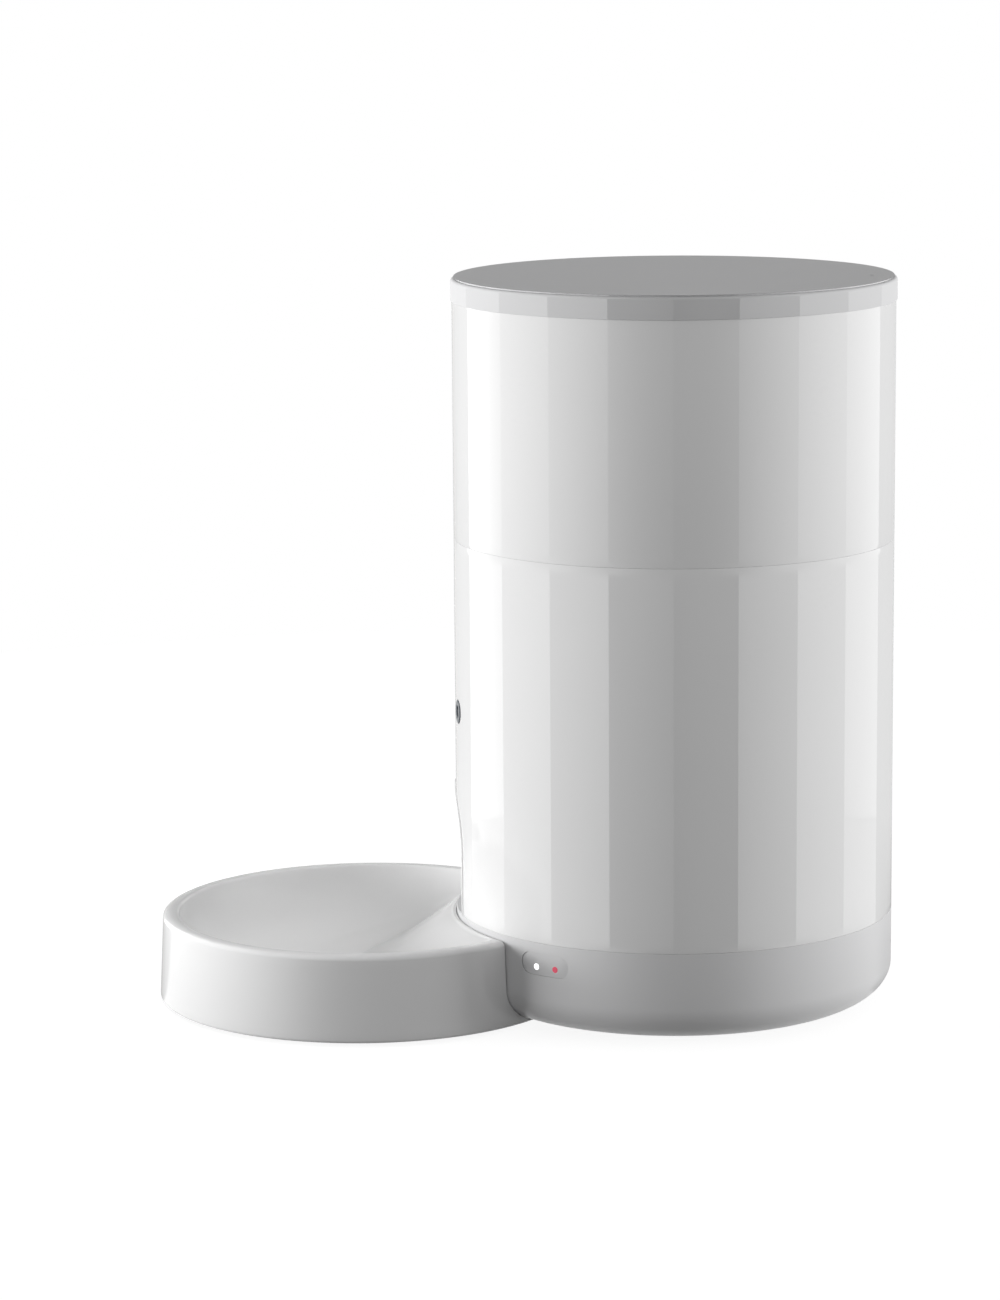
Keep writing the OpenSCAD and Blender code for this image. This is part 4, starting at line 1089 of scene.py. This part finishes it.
class FEEDER_OT_feet(bpy.types.Operator):
    """Rubber feet under the base, the bowl and the battery door"""

    bl_idname = "feeder.feet"
    bl_label = "Feet"

    def pad(self, name, radius, height):
        """One pad with a rounded edge and a shallow dished face."""
        soft, dish = 0.0004, 0.0002
        dish_flat, dish_edge = radius * 0.55, radius * 0.7
        profile = [(0, dish), (dish_flat, dish), (dish_edge, 0)]
        profile += rounding(radius - soft, soft, soft, -90, 0, 4) + [(radius, height), (0, height)]
        return turned(name, profile, steps=64, closed=False)

    def spread(self, name, radius, height, places):
        """Copies of one pad, joined."""
        first = self.pad(name, radius, height)
        copies = [copied(first, (x, y, 0)) for x, y in places]
        bpy.data.objects.remove(first)
        return joined(name, copies)

    def execute(self, context):
        sizes = context.scene.feeder_sizes
        feet = self.spread("rubber_feet", radius=0.006, height=0.0021, places=FOOT_PLACES)
        settled(feet, "housing", FINISHES["rubber"], ["feet"])
        pads = self.spread("bowl_feet", radius=0.005, height=0.0016, places=pad_places(sizes))
        settled(pads, "bowl", FINISHES["rubber"], ["bowl_pads"])
        door = self.pad("door_foot", radius=0.008, height=0.0015)
        settled(door, "battery_door", FINISHES["rubber"], ["door_pad"])
        return {"FINISHED"}


class FEEDER_OT_battery_door(bpy.types.Operator):
    """Battery door with a hinge bar and a grooved finger grip"""

    bl_idname = "feeder.battery_door"
    bl_label = "Battery door"

    def execute(self, context):
        half, front, hinge = 0.0394, -0.0249, 0.0251
        low, high, edge = 0.0015, 0.0039, 0.0005
        plate = softened(slab("door_plate", (-half, front, low), (half, hinge, high)), edge)
        grip, grip_low, grip_high, grip_edge = 0.014, 0.0005, 0.0021, 0.0004
        grip_start, grip_step, grip_width = front + 0.0035, 0.003, 0.0014
        grooves = []
        for i in range(3):
            start = grip_start + i * grip_step
            groove = slab("groove", (-grip, start, grip_low), (grip, start + grip_width, grip_high))
            grooves.append(softened(groove, grip_edge))
        cut(plate, joined("grip_cutter", grooves))
        axis, bar_radius, pin_radius, pin_end, pin_edge = 0.003, 0.0012, 0.0009, half + 0.002, 0.0002
        bar = rod("hinge_bar", bar_radius, (-half, hinge, axis), (half, hinge, axis))
        pin = rod("hinge_pin", pin_radius, (-pin_end, hinge, axis), (pin_end, hinge, axis))
        piece = joined("door_panel", [plate, bar, softened(pin, pin_edge)])
        settled(piece, "battery_door", FINISHES["grey"], ["battery_door"])
        return {"FINISHED"}


class FEEDER_OT_reset_button(bpy.types.Operator):
    """Reset button with a dished face"""

    bl_idname = "feeder.reset_button"
    bl_label = "Reset button"

    def execute(self, context):
        sizes = context.scene.feeder_sizes
        r, front = 0.003, BUTTON_HIGH[1] - BUTTON_LOW[1]
        flange, edge = 0.001, 0.0005
        dish_loop, dish_side, dish = r * 0.5, 0.0002, 0.0003
        profile = [(0, 0), (r + flange, 0), (r + flange, flange), (r, flange)]
        profile += rounding(r - edge, front - edge, edge, 0, 90, 4)
        profile += [(dish_loop, front - dish_side), (0, front - dish)]
        button = turned("reset_cap", profile, steps=64, closed=False)
        spot = Matrix.Translation((sizes.button_place, BUTTON_LOW[1], sizes.rear_height))
        placed(button, spot @ Matrix.Rotation(-QUARTER, 4, "X"))
        settled(button, "reset_button", FINISHES["grey"], ["reset_button"])
        return {"FINISHED"}


# Stage

class FEEDER_OT_stage(bpy.types.Operator):
    """White floor, soft lamps, cards that show in the gloss, and the camera"""

    bl_idname = "feeder.stage"
    bl_label = "Stage"

    def lamp(self, context, name, power, place, aim, size, spread=180):
        """Soft lamp that gloss doesn't show."""
        light = bpy.data.lights.new(name, "AREA")
        light.shape = "RECTANGLE"
        light.size, light.size_y = size
        light.energy = power
        light.spread = math.radians(spread)
        lamp = bpy.data.objects.new(name, light)
        lamp.location = place
        lamp.rotation_euler = (Vector(aim) - Vector(place)).to_track_quat("-Z", "Y").to_euler()
        lamp.visible_glossy = False
        context.collection.objects.link(lamp)

    def lying(self, tree):
        """Share that is 1 where a card lies flat."""
        flat_height = 0.002
        split = tree.nodes.new("ShaderNodeSeparateXYZ")
        feed(tree, split.inputs[0], object_place(tree))
        return math_node(tree, "LESS_THAN", split.outputs[2], flat_height)

    def seen(self, tree):
        """Share that is 1 for rays that the eye, a gloss or a glass sends out."""
        path = tree.nodes.new("ShaderNodeLightPath")
        share = math_node(tree, "MAXIMUM", path.outputs["Is Camera Ray"], path.outputs["Is Glossy Ray"])
        return math_node(tree, "MAXIMUM", share, path.outputs["Is Transmission Ray"])

    def from_below(self, tree):
        """Share that is 1 for a ray that meets the floor from below, and for what it meets later."""
        path = tree.nodes.new("ShaderNodeLightPath")
        passed = math_node(tree, "GREATER_THAN", path.outputs["Transparent Depth"], 0.5)
        back = tree.nodes.new("ShaderNodeNewGeometry").outputs["Backfacing"]
        return math_node(tree, "MAXIMUM", passed, back)

    def card(self, context, name, side, strength, flag, foot):
        """Card that only gloss shows: white, brightest at its far edge, then a grey flag with a foot."""
        edges = [(0.0283, -0.4363), (-0.2077, -0.3288), (-0.42, -0.06)]
        low, height = 0.001, 0.45
        points = [(x, -side * y, z) for z in (low, height) for x, y in edges]
        points += [(x, -side * y, low) for x, y in foot]
        mesh = bpy.data.meshes.new(name)
        mesh.from_pydata(points, [], [(0, 1, 4, 3), (1, 2, 5, 4), (1, 2, *range(6, len(points)))])
        card = bpy.data.objects.new(name, mesh)
        context.collection.objects.link(card)
        material, tree, surface = bare_material(name)
        direction = (-0.91, -0.4147 * side, 0)
        rise_start, rise_end, flag_start, flag_end = -0.2067, 0.0, 0.0526, 0.357
        along = dot_node(tree, object_place(tree), direction)
        white = range_node(tree, along, rise_start, rise_end, 1.0, 1.0 + strength, True)
        shade = range_node(tree, along, flag_start, flag_end, *flag)
        dark = math_node(tree, "GREATER_THAN", along, flag_start)
        level = range_node(tree, math_node(tree, "MAXIMUM", dark, self.lying(tree)), 0.0, 1.0, white, shade)
        glow = tree.nodes.new("ShaderNodeEmission")
        feed(tree, glow.inputs["Strength"], level)
        tree.links.new(glow.outputs[0], surface)
        card.data.materials.append(material)
        card.visible_camera = False
        card.visible_diffuse = False
        card.visible_shadow = False

    def floor(self, levels):
        """Floor that takes the shadow, looks white and is clear from below."""
        begin()
        bpy.ops.mesh.primitive_circle_add(vertices=96, radius=0.9, fill_type="NGON")
        floor = named(bpy.context.object, "studio_floor")
        material, tree, surface = bare_material("studio_floor")
        diffuse = tree.nodes.new("ShaderNodeBsdfDiffuse")
        diffuse.inputs["Color"].default_value = [levels.floor_tone] * 3 + [1]
        glow = tree.nodes.new("ShaderNodeEmission")
        feed(tree, glow.inputs["Strength"], math_node(tree, "MULTIPLY", self.seen(tree), levels.floor_glow))
        both = tree.nodes.new("ShaderNodeAddShader")
        tree.links.new(diffuse.outputs[0], both.inputs[0])
        tree.links.new(glow.outputs[0], both.inputs[1])
        clear = tree.nodes.new("ShaderNodeMixShader")
        feed(tree, clear.inputs[0], self.from_below(tree))
        tree.links.new(both.outputs[0], clear.inputs[1])
        tree.links.new(tree.nodes.new("ShaderNodeBsdfTransparent").outputs[0], clear.inputs[2])
        tree.links.new(clear.outputs[0], surface)
        floor.data.materials.append(material)

    def surroundings(self, scene, levels):
        """Even light from all sides that looks white to the eye and in gloss."""
        world = bpy.data.worlds.new("studio_world")
        scene.world = world
        world.use_nodes = True
        tree = world.node_tree
        back = tree.nodes["Background"]
        back.inputs["Color"].default_value = (1, 1, 1, 1)
        feed(tree, back.inputs["Strength"], range_node(tree, self.seen(tree), 0.0, 1.0, levels.ambient, 1.0))

    def viewpoint(self, context):
        """Camera at the photograph's place, angle and focal length."""
        place, yaw, pitch, roll = (1.74685, 0, 0.45764), 0.04086, 0.17662, -0.00763
        level = math.cos(pitch)
        forward = Vector((-level * math.cos(yaw), -level * math.sin(yaw), -math.sin(pitch)))
        aim = forward.to_track_quat("-Z", "Y").to_matrix() @ Matrix.Rotation(roll, 3, "Z")
        camera = bpy.data.cameras.new("photo_camera")
        camera.sensor_width = 36
        camera.lens = 119.456
        viewer = bpy.data.objects.new("photo_camera", camera)
        context.collection.objects.link(viewer)
        viewer.location = place
        viewer.rotation_euler = aim.to_euler()
        context.scene.camera = viewer

    def execute(self, context):
        levels = context.scene.feeder_stage
        self.floor(levels)
        self.surroundings(context.scene, levels)
        body, softbox = (0, 0, 0.16), (2.4, 1.16)
        bowl, bowl_over, bowl_softbox, bowl_spread = (0, -0.162, 0), (0, -0.162, 0.9), (0.17, 0.09), 8
        self.lamp(context, "front_softbox", levels.front_power, (0.2, -4.0, 0.38), body, softbox)
        self.lamp(context, "rear_softbox", levels.rear_power, (-0.1, 4.0, 0.38), body, softbox)
        self.lamp(context, "bowl_softbox", levels.bowl_power, bowl_over, bowl, bowl_softbox, bowl_spread)
        front_foot = [(-0.12, -0.112), (0.033, -0.2), (-0.01, -0.238), (-0.13, -0.35)]
        rear_foot = [(-0.1, -0.03), (0.02, -0.09)]
        self.card(context, "front_card", -1, 1.5, (0.3, 0.8), front_foot)
        self.card(context, "rear_card", 1, 0.35, (0.32, 0.85), rear_foot)
        self.viewpoint(context)
        context.scene.view_settings.view_transform = "Standard"
        return {"FINISHED"}


# Panel and registration

class FEEDER_PT_pieces(bpy.types.Panel):
    """Lists the pieces of the feeder"""

    bl_idname = "FEEDER_PT_pieces"
    bl_label = "Feeder"
    bl_space_type = "VIEW_3D"
    bl_region_type = "UI"
    bl_category = "Feeder"

    def draw(self, context):
        for operator in OPERATORS:
            self.layout.operator(operator.bl_idname)
        for group in (context.scene.feeder_sizes, context.scene.feeder_colours, context.scene.feeder_stage):
            column = self.layout.column(align=True)
            for name in group.__annotations__:
                column.prop(group, name)


OPERATORS = (
    FEEDER_OT_finishes, FEEDER_OT_lid, FEEDER_OT_tank, FEEDER_OT_lower_shell, FEEDER_OT_base,
    FEEDER_OT_bowl, FEEDER_OT_camera, FEEDER_OT_indicator, FEEDER_OT_feet, FEEDER_OT_battery_door,
    FEEDER_OT_reset_button, FEEDER_OT_stage,
)
CLASSES = (FeederSizes, FeederColours, FeederStage) + OPERATORS + (FEEDER_PT_pieces,)


def register():
    """Register the classes and hang the properties on the scene."""
    for item in CLASSES:
        bpy.utils.register_class(item)
    bpy.types.Scene.feeder_sizes = bpy.props.PointerProperty(type=FeederSizes)
    bpy.types.Scene.feeder_colours = bpy.props.PointerProperty(type=FeederColours)
    bpy.types.Scene.feeder_stage = bpy.props.PointerProperty(type=FeederStage)


def unregister():
    """Undo what register does."""
    del bpy.types.Scene.feeder_stage
    del bpy.types.Scene.feeder_colours
    del bpy.types.Scene.feeder_sizes
    for item in reversed(CLASSES):
        bpy.utils.unregister_class(item)


def main():
    """Model the feeder on its frame."""
    register()
    bpy.ops.feeder.finishes()
    bpy.ops.feeder.lid()
    bpy.ops.feeder.tank()
    bpy.ops.feeder.lower_shell()
    bpy.ops.feeder.base()
    bpy.ops.feeder.bowl()
    bpy.ops.feeder.camera_window()
    bpy.ops.feeder.indicator()
    bpy.ops.feeder.feet()
    bpy.ops.feeder.battery_door()
    bpy.ops.feeder.reset_button()
    bpy.ops.feeder.stage()


if __name__ == "__main__":
    main()
